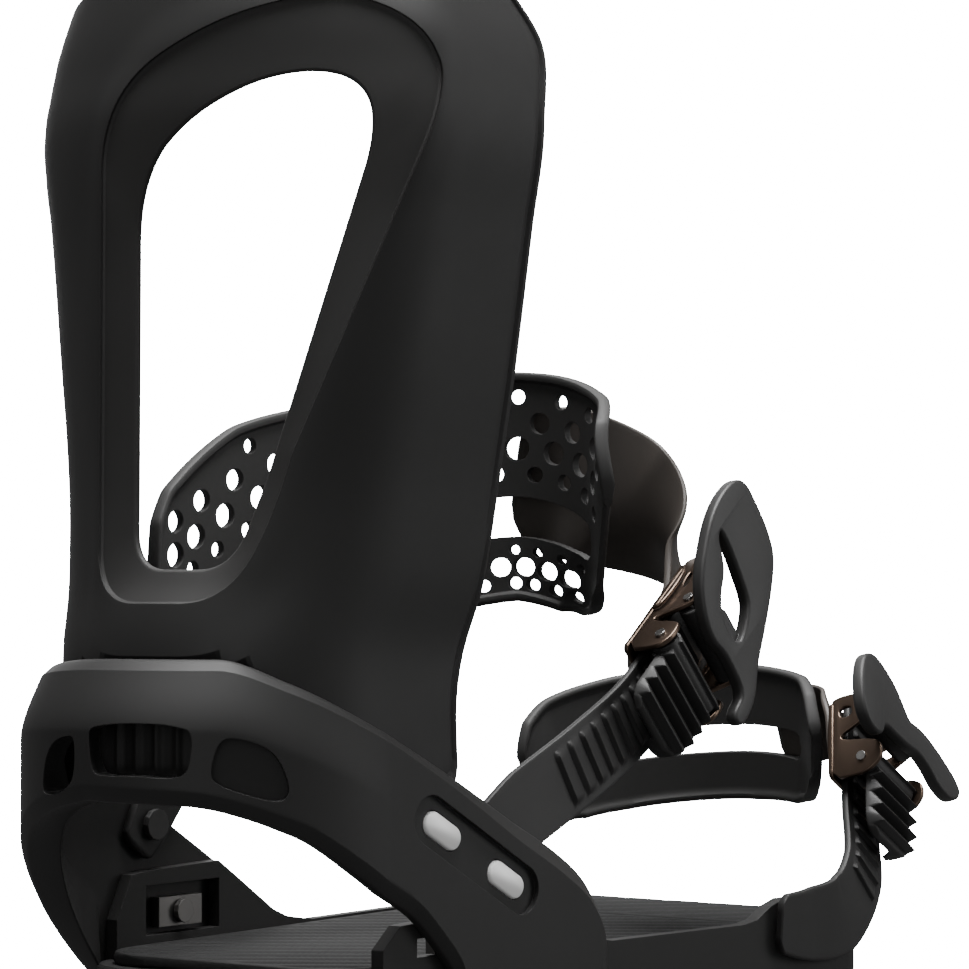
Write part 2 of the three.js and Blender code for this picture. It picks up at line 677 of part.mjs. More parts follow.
// Handle of the ratchet: two arms round the pin that carry a long curved wing.
function ratchetLever(wingTurn) {
  const { x, z } = RATCHET_PIN;
  const arm = new THREE.Shape();
  arm.moveTo(x - 4.4, z);
  arm.absarc(x, z, 4.4, Math.PI, 1.75 * Math.PI);
  arm.lineTo(x + 16, z + 3);
  arm.lineTo(x + 19, z + 11);
  arm.lineTo(x + 14, z + 12);
  arm.lineTo(x + 1, z + 4.4);
  const hub = across(arm, -13, 13, 0.8);
  const wing = new THREE.Shape();
  wing.moveTo(0, -33);
  wing.quadraticCurveTo(10, -37, 15, -29);
  wing.quadraticCurveTo(22, -8, 20, 8);
  wing.quadraticCurveTo(16, 30, 6, 34);
  wing.quadraticCurveTo(-1, 35, -4, 26);
  wing.quadraticCurveTo(-7, 8, -3, -8);
  wing.lineTo(-6, -26);
  const blade = plate(wing, 4.4, 1.2);
  const slot = plate(obround(26, 5), 20).rotateZ(1.75).translate(8, 10, -8);
  const tilt = new THREE.Matrix4().makeRotationY(THREE.MathUtils.degToRad(-48));
  tilt.setPosition(x + 5, 9, z + 2);
  const paddle = cut(blade, slot).translate(-7, 0, 0).rotateZ(wingTurn).translate(9, 0, 0);
  const clearance = [-60, 12.9].map((from) => across(circle(x, z, 8.5), from, from + 47.1));
  const overLadder = [
    block(x - 30, x + 30, -12.3, 12.3, z - 30, z - 4.5),
    block(x - 30, x - 4.5, -12.3, 12.3, z - 30, z + 30),
  ];
  const body = join(hub, paddle.applyMatrix4(tilt));
  return cut(body, axle(1.9, 60, x, z), ...clearance, ...overLadder);
}

// Release lever: a ribbed tongue over the ladder's entry side.
function releaseLever() {
  const { x, z } = RELEASE_PIN;
  const shape = new THREE.Shape();
  shape.moveTo(x - 2, z - 3.6);
  shape.absarc(x, z, 3.6, -Math.PI * 0.7, Math.PI / 2);
  for (let i = 0; i < 4; i += 1) {
    const left = x - 3 - 5.4 * i;
    shape.lineTo(left, z + 3.6 - 0.3 * i);
    shape.lineTo(left - 3, z + 4.4 - 0.3 * i);
    shape.lineTo(left - 3.6, z + 1.8 - 0.3 * i);
  }
  shape.lineTo(x - 26, z + 2.8);
  shape.quadraticCurveTo(x - 29, z + 1, x - 26, z - 1.6);
  shape.lineTo(x - 8, z - 2.4);
  const body = across(shape, -13, 13, 0.6);
  return cut(body, axle(1.9, 60, x, z));
}

function buckle(prefix, frame, wingTurn) {
  const group = new THREE.Group();
  group.applyMatrix4(frame);
  binding.add(group);
  const put = (name, geometry, finish) => add(`${prefix}_${name}`, geometry, finish, group);
  put('buckle_frame', buckleFrame(), BRONZE);
  put('ratchet_lever', ratchetLever(wingTurn), BLACK);
  put('release_lever', releaseLever(), BLACK);
  const width = 2 * (CHEEK_IN + CHEEK_WALL) + 1.6;
  put('ratchet_pin', axle(1.6, width, RATCHET_PIN.x, RATCHET_PIN.z), STEEL);
  put('release_pin', axle(1.6, width, RELEASE_PIN.x, RELEASE_PIN.z), STEEL);
  const screw = turned([
    [0, -9.8], [4, -9.8], [4, -8.3], [1.8, -8.3], [1.8, FLOOR_TOP - 0.2], [0, FLOOR_TOP - 0.2],
  ]).translate(RIVET_X, 0, 0);
  put('frame_rivet', screw, STEEL);
}

// ---- remaining straps -----------------------------------------------------------
function ankleStraps() {
  const farStrap = ribbon([
    { at: [-56, 48.6, 38], across: [-0.5, 0, 0.8], width: 12 },
    { at: [-50, 48.8, 46], across: [-0.6, 0, 0.75], width: 16 },
    { at: [-38, 49.4, 62], across: [-0.7, 0, 0.7], width: 19 },
    { at: [-18, 50.8, 84], across: [-0.75, 0, 0.6], width: 22 },
    { at: [0, 50.8, 106], across: [-0.8, 0, 0.5], width: 24 },
    { at: [16, 48.6, 126], across: [-0.8, 0, 0.5], width: 18 },
  ], 24, 2.4);
  const farBore = crossBore(2.8, FAR_ANCHOR.x, armInner(FAR_ANCHOR.x), FAR_ANCHOR.z, 12);
  add('ankle_far_strap', cut(farStrap, farBore), BLACK);
  const farBolt = turned([[0, 0], [4.4, 0], [4.4, 1.8], [2.4, 1.8], [2.4, 7.6], [0, 7.6]])
    .rotateX(-Math.PI / 2).translate(FAR_ANCHOR.x, 45.3, FAR_ANCHOR.z);
  add('ankle_far_bolt', farBolt, STEEL);
  const carrier = ribbon([
    { at: [56, -45.6, 83], across: ANKLE_ACROSS, width: 18 },
    { at: [68, -45.2, 92], across: ANKLE_ACROSS, width: 24 },
    { at: [82, -44.1, 103], across: [-0.5, 0.1, 0.84], width: 26 },
    { at: [91, -34, 120], across: [-0.4, 0.1, 0.9], width: 34 },
    { at: [86, -20, 136], across: [-0.25, 0.1, 0.95], width: 44 },
    { at: [75, -5, 144], across: [-0.15, 0.1, 0.98], width: 46 },
    { at: [70.5, 8, 146], across: [-0.1, 0.1, 0.98], width: 36 },
  ], 30, 2.4);
  add('ankle_carrier', cut(carrier, rivetBore().applyMatrix4(ANKLE_BUCKLE)), BLACK);
}

const TOE_PAD_KNOTS = [
  { at: [128, 46, 48], across: [0.1, 0, 1], width: 34 },
  { at: [142, 43, 56], across: [0, 0, 1], width: 42 },
  { at: [160, 33, 61], across: [-0.08, 0, 1], width: 44 },
  { at: [174, 14, 64], across: [-0.1, 0, 1], width: 44 },
  { at: [178, -8, 65], across: [-0.1, 0, 1], width: 44 },
  { at: [174, -28, 63], across: [-0.1, 0, 1], width: 42 },
  { at: [163.6, -39.8, 58.6], across: [-0.1, 0, 1], width: 31 },
];

function toeStraps() {
  const pad = ribbon(TOE_PAD_KNOTS, 28, 4, undefined, 2);
  const opening = ribbon(TOE_PAD_KNOTS.slice(1, 6).map((k) => ({
    at: [k.at[0], k.at[1], k.at[2] - 2], across: k.across, width: 9,
  })), 24, 20);
  add('toe_pad', cut(pad, opening), SOFT_BLACK);
  const farStrap = ribbon([
    { at: [101, 65.2, 10], across: [-0.3, 0, 1], width: 16 },
    { at: [113, 66.2, 12], across: [-0.4, 0, 1], width: 19 },
    { at: [125, 67.2, 19], across: [-0.5, 0, 0.85], width: 20 },
    { at: [135, 61, 33], across: [-0.6, 0, 0.8], width: 20 },
    { at: [141, 53, 45], across: [-0.6, 0, 0.8], width: 20 },
    { at: [147, 46, 54], across: [-0.5, 0, 0.8], width: 16 },
  ], 22, 2.4);
  const ladder = ribbon([
    { at: [101, -65.2, 12], across: [-0.2, 0, 1], width: 17 },
    { at: [116, -66.4, 11], across: [-0.3, 0, 1], width: 22 },
    { at: [134, -67.2, 13], across: [-0.6, 0, 0.8], width: 25 },
    { at: [149, -65, 24], across: TOE_ACROSS, width: LADDER_WIDTH },
    { at: [161, -57.3, 40], across: TOE_ACROSS, width: LADDER_WIDTH },
    { at: [170.8, -51.4, 57.7], across: TOE_ACROSS, width: LADDER_WIDTH },
    { at: [180, -46, 74], across: TOE_ACROSS, width: LADDER_WIDTH - 3 },
  ], 76, LADDER_THICK, sawtooth(112, 52, 1.2));
  const wall = railHalf(TOE_ANCHOR.x);
  const bore = (side) => crossBore(2.8, TOE_ANCHOR.x, side * wall, TOE_ANCHOR.z, 3);
  add('toe_far_strap', cut(farStrap, bore(FAR)), BLACK);
  add('toe_ladder', cut(ladder, bore(NEAR)), BLACK);
  for (const side of [NEAR, FAR]) {
    const bolt = turned([
      [0, 0], [4.5, 0], [4.5, 1.5], [2.4, 1.5], [2.4, 6.2], [0, 6.2],
    ]).rotateX((-side * Math.PI) / 2)
      .translate(TOE_ANCHOR.x, side * (wall - RAIL_WALL + 0.2), TOE_ANCHOR.z);
    add(`toe_bolt_${side === NEAR ? 'near' : 'far'}`, bolt, STEEL);
  }
  const carrier = ribbon([
    { at: [166.6, -48.3, 49.6], across: TOE_ACROSS, width: 18 },
    { at: [171.5, -45.2, 58.7], across: TOE_ACROSS, width: 22 },
    { at: [176, -41.6, 66.2], across: [-0.75, 0.05, 0.6], width: 23 },
    { at: [179.6, -35, 68.5], across: [-0.35, 0.1, 0.9], width: 24 },
    { at: [181, -26, 68], across: [-0.1, 0, 1], width: 26 },
    { at: [181.3, -15, 66], across: [-0.1, 0, 1], width: 24 },
  ], 24, 2);
  add('toe_carrier', cut(carrier, rivetBore().applyMatrix4(TOE_BUCKLE)), BLACK);
}

baseplate();
gaskets();
mountingDisc();
footbeds();
heelHoop();
hoopFastenings();
pegs();
highback();
forwardLean();
hingePins();
ankleLadder();
anklePad();
ankleStraps();
toeStraps();
buckle('ankle', ANKLE_BUCKLE, -0.42);
buckle('toe', TOE_BUCKLE, -0.3);

export default binding;
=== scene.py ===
"""Strap binding for a right foot: the looks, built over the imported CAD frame.

Lengths in the shape code are in millimetres in the row frame and are turned
into metres where a mesh is made. Heights called z are from the rail datum,
LIFT above the board plane, as in the CAD.
"""

import math

import bpy
import bmesh
import numpy as np
from mathutils import Matrix, Vector


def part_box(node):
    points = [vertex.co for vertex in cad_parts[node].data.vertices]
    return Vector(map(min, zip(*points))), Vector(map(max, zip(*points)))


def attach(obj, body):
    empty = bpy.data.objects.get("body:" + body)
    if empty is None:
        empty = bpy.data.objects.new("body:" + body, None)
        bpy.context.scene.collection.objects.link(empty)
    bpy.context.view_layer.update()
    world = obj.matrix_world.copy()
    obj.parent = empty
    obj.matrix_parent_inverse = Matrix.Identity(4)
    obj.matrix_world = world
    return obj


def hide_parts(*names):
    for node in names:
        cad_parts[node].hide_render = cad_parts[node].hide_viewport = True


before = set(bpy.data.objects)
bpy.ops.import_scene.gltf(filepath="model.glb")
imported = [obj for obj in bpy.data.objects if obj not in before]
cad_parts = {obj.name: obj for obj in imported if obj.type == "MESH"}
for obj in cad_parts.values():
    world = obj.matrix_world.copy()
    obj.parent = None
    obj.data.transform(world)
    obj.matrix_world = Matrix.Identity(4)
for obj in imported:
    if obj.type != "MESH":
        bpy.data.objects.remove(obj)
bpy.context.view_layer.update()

MM = 0.001
LIFT = 9.0


# ---- number helpers -------------------------------------------------------------
def curve(*knots):
    """A smooth function through (x, y) knots, flat beyond them, without overshoot."""
    xs = np.array([k[0] for k in knots], float)
    ys = np.array([k[1] for k in knots], float)
    slope = np.diff(ys) / np.diff(xs)
    tangent = np.zeros(len(xs))
    if len(xs) > 2:
        same = slope[:-1] * slope[1:] > 0
        mean = 2 * slope[:-1] * slope[1:] / np.where(same, slope[:-1] + slope[1:], 1)
        tangent[1:-1] = np.where(same, mean, 0)
    tangent[0], tangent[-1] = slope[0], slope[-1]

    def value(x):
        x = np.clip(np.asarray(x, float), xs[0], xs[-1])
        i = np.clip(np.searchsorted(xs, x) - 1, 0, len(slope) - 1)
        h = xs[i + 1] - xs[i]
        t = (x - xs[i]) / h
        t2, t3 = t * t, t * t * t
        return (
            (2 * t3 - 3 * t2 + 1) * ys[i]
            + (t3 - 2 * t2 + t) * h * tangent[i]
            + (3 * t2 - 2 * t3) * ys[i + 1]
            + (t3 - t2) * h * tangent[i + 1]
        )

    return value


def ease(low, high, x):
    """0 below low, 1 above high, smooth between."""
    t = np.clip((np.asarray(x, float) - low) / (high - low), 0, 1)
    return t * t * (3 - 2 * t)


def fillet(distance, radius):
    """How far a rounded edge falls back at this distance from it."""
    t = np.clip(1 - np.asarray(distance, float) / radius, 0, 1)
    return radius * (1 - np.sqrt(np.maximum(0, 1 - t * t)))


def path_points(segments, steps=16):
    """Points along lines and quadratic curves: (x, y) or (cx, cy, x, y) from the last one."""
    points = [np.array(segments[0], float)]
    for segment in segments[1:]:
        start = points[-1]
        if len(segment) == 2:
            end = np.array(segment, float)
            points += [start + (end - start) * t for t in np.linspace(0, 1, steps + 1)[1:]]
        else:
            mid, end = np.array(segment[:2], float), np.array(segment[2:], float)
            for t in np.linspace(0, 1, steps + 1)[1:]:
                points.append((1 - t) ** 2 * start + 2 * t * (1 - t) * mid + t * t * end)
    return np.array(points)


def closed_samples(points, count):
    """The closed outline resampled to even steps."""
    loop = np.vstack([points, points[:1]])
    length = np.concatenate([[0], np.cumsum(np.linalg.norm(np.diff(loop, axis=0), axis=1))])
    at = np.linspace(0, length[-1], count, endpoint=False)
    return np.stack([np.interp(at, length, loop[:, k]) for k in range(2)], 1)


# ---- mesh helpers -----------------------------------------------------------------
def new_object(name, vertices, faces, smooth_angle=38):
    mesh = bpy.data.meshes.new(name)
    mesh.from_pydata([tuple(v) for v in vertices], [], faces)
    mesh.validate()
    bm = bmesh.new()
    bm.from_mesh(mesh)
    bmesh.ops.remove_doubles(bm, verts=bm.verts, dist=1e-6)
    bmesh.ops.recalc_face_normals(bm, faces=bm.faces)
    bm.to_mesh(mesh)
    bm.free()
    obj = bpy.data.objects.new(name, mesh)
    bpy.context.scene.collection.objects.link(obj)
    shade(obj, smooth_angle)
    return obj


def shade(obj, angle=38):
    for polygon in obj.data.polygons:
        polygon.use_smooth = True
    obj.data.set_sharp_from_angle(angle=math.radians(angle))


def to_metres(points):
    points = np.asarray(points, float) * MM
    points[..., 2] += LIFT * MM
    return points


def skin(name, outer, inner, wrap=False, smooth_angle=38):
    """A closed wall between two grids of the same shape; wrap closes it along its first axis."""
    rows, columns = outer.shape[:2]
    vertices = np.vstack([to_metres(outer).reshape(-1, 3), to_metres(inner).reshape(-1, 3)])
    back = rows * columns

    def at(i, j, side):
        return side * back + (i % rows) * columns + j

    faces = []
    last = rows if wrap else rows - 1
    for i in range(last):
        for j in range(columns - 1):
            faces.append((at(i, j, 0), at(i + 1, j, 0), at(i + 1, j + 1, 0), at(i, j + 1, 0)))
            faces.append((at(i, j, 1), at(i, j + 1, 1), at(i + 1, j + 1, 1), at(i + 1, j, 1)))
        for j in (0, columns - 1):
            faces.append((at(i, j, 0), at(i, j, 1), at(i + 1, j, 1), at(i + 1, j, 0)))
    if not wrap:
        for i in (0, rows - 1):
            for j in range(columns - 1):
                faces.append((at(i, j, 0), at(i, j + 1, 0), at(i, j + 1, 1), at(i, j, 1)))
    return new_object(name, vertices, faces, smooth_angle)


def ring_faces(rings, sides):
    """Faces of a solid made of closed rings of points, one after the other, with flat ends."""
    faces = [tuple(range(sides - 1, -1, -1)), tuple(range((rings - 1) * sides, rings * sides))]
    for i in range(rings - 1):
        for k in range(sides):
            n = (k + 1) % sides
            faces.append((i * sides + k, i * sides + n, (i + 1) * sides + n,
                          (i + 1) * sides + k))
    return faces


def prism(outline, depth, matrix):
    """A straight-sided cutter: outline in its own X and Y, pushed along its own Z."""
    count = len(outline)
    low = [matrix @ Vector((x, y, 0)) for x, y in outline]
    high = [matrix @ Vector((x, y, depth)) for x, y in outline]
    return [tuple(v) for v in low + high], ring_faces(2, count)


def carve(obj, cutters, smooth_angle=38):
    """Cuts prisms, given in millimetres as (vertices, faces), out of an object."""
    vertices, faces = [], []
    for points, loops in cutters:
        start = len(vertices)
        vertices += [tuple(p) for p in to_metres(points)]
        faces += [tuple(start + i for i in loop) for loop in loops]
    tool = new_object("tool", vertices, faces)
    cut = obj.modifiers.new("cut", "BOOLEAN")
    cut.object = tool
    cut.operation = "DIFFERENCE"
    cut.solver = "MANIFOLD"
    bake(obj)
    bpy.data.objects.remove(tool)
    shade(obj, smooth_angle)
    return obj


def bake(obj):
    """Turns the modifiers of a new piece into its mesh."""
    graph = bpy.context.evaluated_depsgraph_get()
    mesh = bpy.data.meshes.new_from_object(obj.evaluated_get(graph))
    obj.modifiers.clear()
    obj.data = mesh


def basis(origin, x_axis, y_axis, z_axis):
    columns = [Vector(a).normalized() for a in (x_axis, y_axis, z_axis)]
    matrix = Matrix.Identity(4)
    for i, column in enumerate(columns):
        for k in range(3):
            matrix[k][i] = column[k]
    matrix.translation = Vector(origin)
    return matrix


def rounded(length, width, radius, steps=6):
    points = []
    corners = [(1, -1, -90), (1, 1, 0), (-1, 1, 90), (-1, -1, 180)]
    for sx, sy, start in corners:
        cx, cy = sx * (length / 2 - radius), sy * (width / 2 - radius)
        for k in range(steps + 1):
            a = math.radians(start + 90 * k / steps)
            points.append((cx + radius * math.cos(a), cy + radius * math.sin(a)))
    return points


# ---- materials --------------------------------------------------------------------
def link(tree, a, out, b, into):
    tree.links.new(a.outputs[out], b.inputs[into])


def surface(name, colour, roughness, metallic=0.0, specular=0.5, grain=0.25, bump=0.12,
            vary=0.06, edge=0.35, stretch=(1, 1, 1), mottled=0.12):
    """Moulded or machined surface: fine grain, slow variation and softly broken edges.

    grain is the grain's size and edge the edge radius, both in millimetres.
    """
    material = bpy.data.materials.new(name)
    material.use_nodes = True
    tree = material.node_tree
    principled = tree.nodes["Principled BSDF"]
    principled.inputs["Metallic"].default_value = metallic
    principled.inputs["Specular IOR Level"].default_value = specular
    where = tree.nodes.new("ShaderNodeTexCoord")
    scale = tree.nodes.new("ShaderNodeMapping")
    scale.inputs["Scale"].default_value = stretch
    link(tree, where, "Object", scale, "Vector")
    fine = tree.nodes.new("ShaderNodeTexNoise")
    fine.inputs["Scale"].default_value = 1 / (grain * MM)
    fine.inputs["Detail"].default_value = 2
    slow = tree.nodes.new("ShaderNodeTexNoise")
    slow.inputs["Scale"].default_value = 45
    slow.inputs["Detail"].default_value = 3
    for noise in (fine, slow):
        link(tree, scale, "Vector", noise, "Vector")
    rough = tree.nodes.new("ShaderNodeMapRange")
    rough.inputs["To Min"].default_value = roughness - vary
    rough.inputs["To Max"].default_value = roughness + vary
    link(tree, slow, "Fac", rough, "Value")
    link(tree, rough, "Result", principled, "Roughness")
    tint = tree.nodes.new("ShaderNodeMix")
    tint.data_type = "RGBA"
    dark = [c * (1 - mottled) for c in colour]
    light = [c * (1 + mottled) for c in colour]
    tint.inputs["A"].default_value = (*dark, 1)
    tint.inputs["B"].default_value = (*light, 1)
    link(tree, slow, "Fac", tint, "Factor")
    link(tree, tint, "Result", principled, "Base Color")
    soft = tree.nodes.new("ShaderNodeBevel")
    soft.samples = 4
    soft.inputs["Radius"].default_value = edge * MM
    relief = tree.nodes.new("ShaderNodeBump")
    relief.inputs["Strength"].default_value = bump
    relief.inputs["Distance"].default_value = 0.2 * grain * MM
    link(tree, fine, "Fac", relief, "Height")
    link(tree, soft, "Normal", relief, "Normal")
    link(tree, relief, "Normal", principled, "Normal")
    return material


NYLON = (0.0105, 0.0102, 0.0100)
MATERIALS = {
    "nylon": surface("nylon", NYLON, 0.58, specular=0.42),
    # a lighter copy of the nylon: painted light on the sloping band round the highback's window
    "window_band_painted_light": surface("window_band_painted_light", (0.0185, 0.0178, 0.0174), 0.62, specular=0.4),
    "base_nylon": surface("base_nylon", NYLON, 0.62, specular=0.38, grain=0.35, bump=0.16),
    "strap": surface("strap", (0.0098, 0.0095, 0.0093), 0.55, specular=0.4, grain=0.3),
    # the pads' own lighter grey, raised further as painted fill light on their shaded inner faces
    "pad": surface("pad", (0.032, 0.0315, 0.031), 0.62, specular=0.36, grain=0.4, bump=0.2),
    "foam": surface("foam", (0.010, 0.010, 0.010), 0.8, specular=0.25, grain=0.6, bump=0.35),
    "lever": surface("lever", (0.019, 0.0186, 0.0183), 0.5, specular=0.42, grain=0.3),
    "carrier": surface("carrier", (0.060, 0.052, 0.046), 0.5, specular=0.42, grain=0.3),
    "bronze": surface("bronze", (0.115, 0.082, 0.062), 0.3, metallic=0.95, grain=0.18,
                      bump=0.06, stretch=(1, 1, 0.2)),
    "steel": surface("steel", (0.42, 0.41, 0.40), 0.26, metallic=1.0, grain=0.2, bump=0.05,
                     stretch=(1, 0.25, 1)),
    "dull_steel": surface("dull_steel", (0.16, 0.155, 0.15), 0.42, metallic=1.0, grain=0.3,
                          bump=0.1),
    "pale": surface("pale", (0.97, 0.97, 0.96), 0.42, grain=0.3, bump=0.05),
}


def paint(obj, material):
    obj.data.materials.clear()
    obj.data.materials.append(MATERIALS[material])
    return obj


def finish_piece(obj, body, nodes, material):
    paint(obj, material)
    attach(obj, body)
    if nodes:
        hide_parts(*nodes)
    return obj


# ---- plan shared by base, hoop and highback ------------------------------------------
GAP = 0.3                   # between the base rails and the hoop


def rail_half(x):
    return 53 + 0.08 * (np.asarray(x, float) + 20)


# ---- highback --------------------------------------------------------------------
SHELL_THICK = 4.0
RECESS = 3.6                # how deep the rim of the window lies under the crease
SHELL_FOOT = 57.0
ARC_FROM, ARC_TO = 0.08, 0.8
WINDOW_TURN = math.radians(40)
AXIS_X = -58.0
PERIMETER = 215.0           # rough length round the shell, to even out its parameter

shell_centre = curve((60, -68), (92, -68), (114, -63), (140, -60.6), (171, -59.6), (208, -58.8),
                     (236, -59.3), (253, -57.3), (278, -55))
shell_depth = curve((92, 46), (114, 45.5), (171, 45), (208, 45), (253, 42), (278, 38))
shell_half = curve((70, 48), (92, 48.4), (114, 52), (140, 55.5), (171, 60.5), (208, 66),
                   (236, 70), (253, 69), (278, 62))
near_edge = curve((60, -33), (79, -34), (114, -26.6), (140, -24.6), (171, -23.8), (236, -23.6),
                  (253, -21.6), (278, -28))
far_edge = curve((60, -57), (78, -58), (100, -63), (140, -58), (278, -50))
shell_crown = curve((0, 236), (0.05, 254), (0.12, 266), (0.22, 273), (0.4, 278), (0.85, 278),
                    (0.95, 275), (1, 266))


def shell_point(q, z, inset):
    """Highback surface: q from far edge to near edge, height z, inset from outside."""
    q, z, inset = np.broadcast_arrays(q, z, inset)
    centre, depth, half = shell_centre(z), shell_depth(z), shell_half(z)
    phi = np.pi * ((q - ARC_FROM) / (ARC_TO - ARC_FROM) - 0.5)
    nx, ny = np.cos(phi) / depth, np.sin(phi) / half
    scale = inset / np.hypot(nx, ny)
    x = centre - depth * np.cos(phi) + nx * scale
    y = -half * np.sin(phi) + ny * scale
    far, near = q < ARC_FROM, q > ARC_TO
    x = np.where(far, centre + (far_edge(z) - centre) * (1 - q / ARC_FROM), x)
    y = np.where(far, half - inset, y)
    x = np.where(near, centre + (near_edge(z) - centre) * (q - ARC_TO) / (1 - ARC_TO), x)
    y = np.where(near, -half + inset, y)
    return np.stack([x, y, z], -1)


def across_window(q, z, inset=0.0):
    """Distance across the window's direction of view, from the highback's axis."""
    p = shell_point(q, z, inset)
    return (p[..., 0] - AXIS_X) * math.sin(WINDOW_TURN) - p[..., 1] * math.cos(WINDOW_TURN)


def on_shell(outline, inset=0.0):
    """(across, z) points turned into (q, z) points on the shell, at a depth in its wall."""
    h, z = outline[:, 0], outline[:, 1]
    low, high = np.full(len(h), 0.12), np.full(len(h), 0.97)
    for _ in range(30):
        mid = (low + high) / 2
        over = across_window(mid, z, inset) > h
        high, low = np.where(over, mid, high), np.where(over, low, mid)
    return np.stack([(low + high) / 2 * PERIMETER, z], 1)


WINDOW = [(-33, 150), (-33, 126), (-32.6, 116.3, -25, 116.3), (-16, 116.3),
          (-7.5, 116.6, -3.5, 127), (1.5, 140), (26.2, 219), (29.5, 229, 28.3, 236),
          (26, 245.6, 12, 245.6), (1, 245.4, -9, 240.5), (-20, 235.5, -26.5, 227.5),
          (-33, 218.5, -33, 203), (-33, 150)]
CREASE = [(-42.5, 150), (-42.5, 120), (-42, 107.5, -33, 107.5), (-20, 107.5), (-7, 108, 0, 124),
          (4, 132, 8, 146), (42, 226), (49, 243, 45.5, 250), (41, 262, 20, 266),
          (-6, 265, -27, 252.5), (-42.5, 243, -42.5, 222), (-42.5, 150)]


def shell_border(angle, centre):
    """Where a ray from the centre, in (q, z) millimetres, meets the shell's outline."""
    direction = np.stack([np.cos(angle), np.sin(angle)], 1)
    reach = np.full(len(angle), 400.0)
    low = np.zeros(len(angle))
    corner = 7.0
    for _ in range(40):
        mid = (low + reach) / 2
        p = centre + direction * mid[:, None]
        q = p[:, 0] / PERIMETER
        top = shell_crown(np.clip(q, 0, 1))
        gap_x = np.minimum(p[:, 0], PERIMETER - p[:, 0])
        gap_z = np.minimum(top - p[:, 1], p[:, 1] - SHELL_FOOT)
        both = (gap_x < corner) & (gap_z < corner)
        in_corner = np.hypot(corner - gap_x, corner - gap_z) <= corner
        inside = (gap_x > 0) & (gap_z > 0) & (~both | in_corner)
        low, reach = np.where(inside, mid, low), np.where(inside, reach, mid)
    return centre + direction * low[:, None]


def shell_rows(window, crease, border, inner_steps, outer_steps):
    """Plan points from the window's edge over the crease to the border."""
    rows = [window + (crease - window) * t for t in inner_steps]
    rows += [crease + (border - crease) * t for t in outer_steps]
    return np.stack(rows, 1)


def build_highback():
    count = 360
    outline = closed_samples(path_points(WINDOW), count)
    window = on_shell(outline)
    crease = on_shell(closed_samples(path_points(CREASE), count))
    centre = np.array([0.46 * PERIMETER, 172.0])
    angle = np.arctan2(crease[:, 1] - centre[1], crease[:, 0] - centre[0])
    border = shell_border(angle, centre)
    inner = [0, 0.012, 0.035, 0.07, 0.12, 0.3, 0.5, 0.7, 0.9, 0.95, 0.957, 0.98, 0.995]
    outer = [0, 0.008, 0.02, 0.05, 0.09, 0.14, 0.2, 0.27, 0.35, 0.43, 0.5, 0.58, 0.66, 0.74,
             0.82, 0.88, 0.92, 0.95, 0.965, 0.98, 0.99, 0.996, 1.0]
    plan = shell_rows(window, crease, border, inner, outer)
    front = shell_rows(on_shell(outline, RECESS), crease, border, inner, outer)
    back = shell_rows(on_shell(outline, SHELL_THICK), crease, border, inner, outer)
    steps = np.array(inner + [1.0] * len(outer))
    recess = np.broadcast_to(0.9 * (1 - steps) + 0.1 * ease(1, 0.955, steps), plan.shape[:2])
    to_window = np.linalg.norm(plan - window[:, None], axis=2) + 50.0 * (steps == 1)
    to_border = np.linalg.norm(plan - border[:, None], axis=2) + 50.0 * (steps < 1)
    q, z = front[..., 0] / PERIMETER, front[..., 1]
    across = across_window(q, z)
    slot = ease(0, 1.5, 93.2 - 2.9 * ((across + 24) / 20) ** 2 - z) * ease(-50, -47, across)
    slot = slot * ease(-2, 1, -across)
    lip = 0.45 * ease(3.2, 2.6, to_border) - 0.35 * ease(0.9, 0, abs(to_border - 3.6))
    outer_inset = RECESS * recess + fillet(to_window, 0.9) + fillet(to_border, 1.2) + 1.8 * slot
    outer_inset = outer_inset - np.where(q > 0.8, lip, 0)
    ridge = 0.7 * (1 - ease(0, 14, np.linalg.norm(plan - crease[:, None], axis=2)))
    outer_inset = outer_inset - ridge * (steps == 1)
    inner_inset = SHELL_THICK + 1.5 * recess - fillet(to_window, 0.5) - fillet(to_border, 1.0)
    inner_inset = np.maximum(inner_inset, outer_inset + 0.4)
    face = shell_point(q, z, outer_inset)
    reverse = shell_point(back[..., 0] / PERIMETER, back[..., 1], inner_inset)
    shell = skin("highback_shell", face, reverse, wrap=True, smooth_angle=11)
    bores = []
    for side in (-1, 1):
        bores.append(prism(circle_points(2.8), 24, basis((-68, side * 36, 64), (1, 0, 0),
                                                         (0, 0, -side), (0, side, 0))))
    carve(shell, bores, 11)
    finish_piece(shell, "highback", ["highback"], "nylon")
    paint_window_band_painted_light(shell)


def paint_window_band_painted_light(shell):
    """The sloping band between the crease and the window gets a lighter copy of the nylon: painted
    light on the recess.
    """
    shell.data.materials.append(MATERIALS["window_band_painted_light"])
    loop = closed_samples(path_points(CREASE), 120)
    view = Vector((math.cos(WINDOW_TURN), math.sin(WINDOW_TURN), 0))
    for polygon in shell.data.polygons:
        at = polygon.center / MM
        h = (at.x - AXIS_X) * math.sin(WINDOW_TURN) - at.y * math.cos(WINDOW_TURN)
        depth = (at.x - AXIS_X) * math.cos(WINDOW_TURN) + at.y * math.sin(WINDOW_TURN)
        if depth < -8 and polygon.normal.dot(view) < -0.2 and inside(loop, h, at.z - LIFT):
            polygon.material_index = 1


def inside(loop, x, y):
    """Whether a point lies in a closed outline."""
    x0, y0 = loop[:, 0], loop[:, 1]
    x1, y1 = np.roll(x0, -1), np.roll(y0, -1)
    crosses = (y0 > y) != (y1 > y)
    with np.errstate(divide="ignore", invalid="ignore"):
        left = x < x0 + (y - y0) * (x1 - x0) / (y1 - y0)
    return bool((crosses & left).sum() % 2)


def circle_points(radius, count=24):
    angles = np.linspace(0, 2 * np.pi, count, endpoint=False)
    return [(radius * math.cos(a), radius * math.sin(a)) for a in angles]


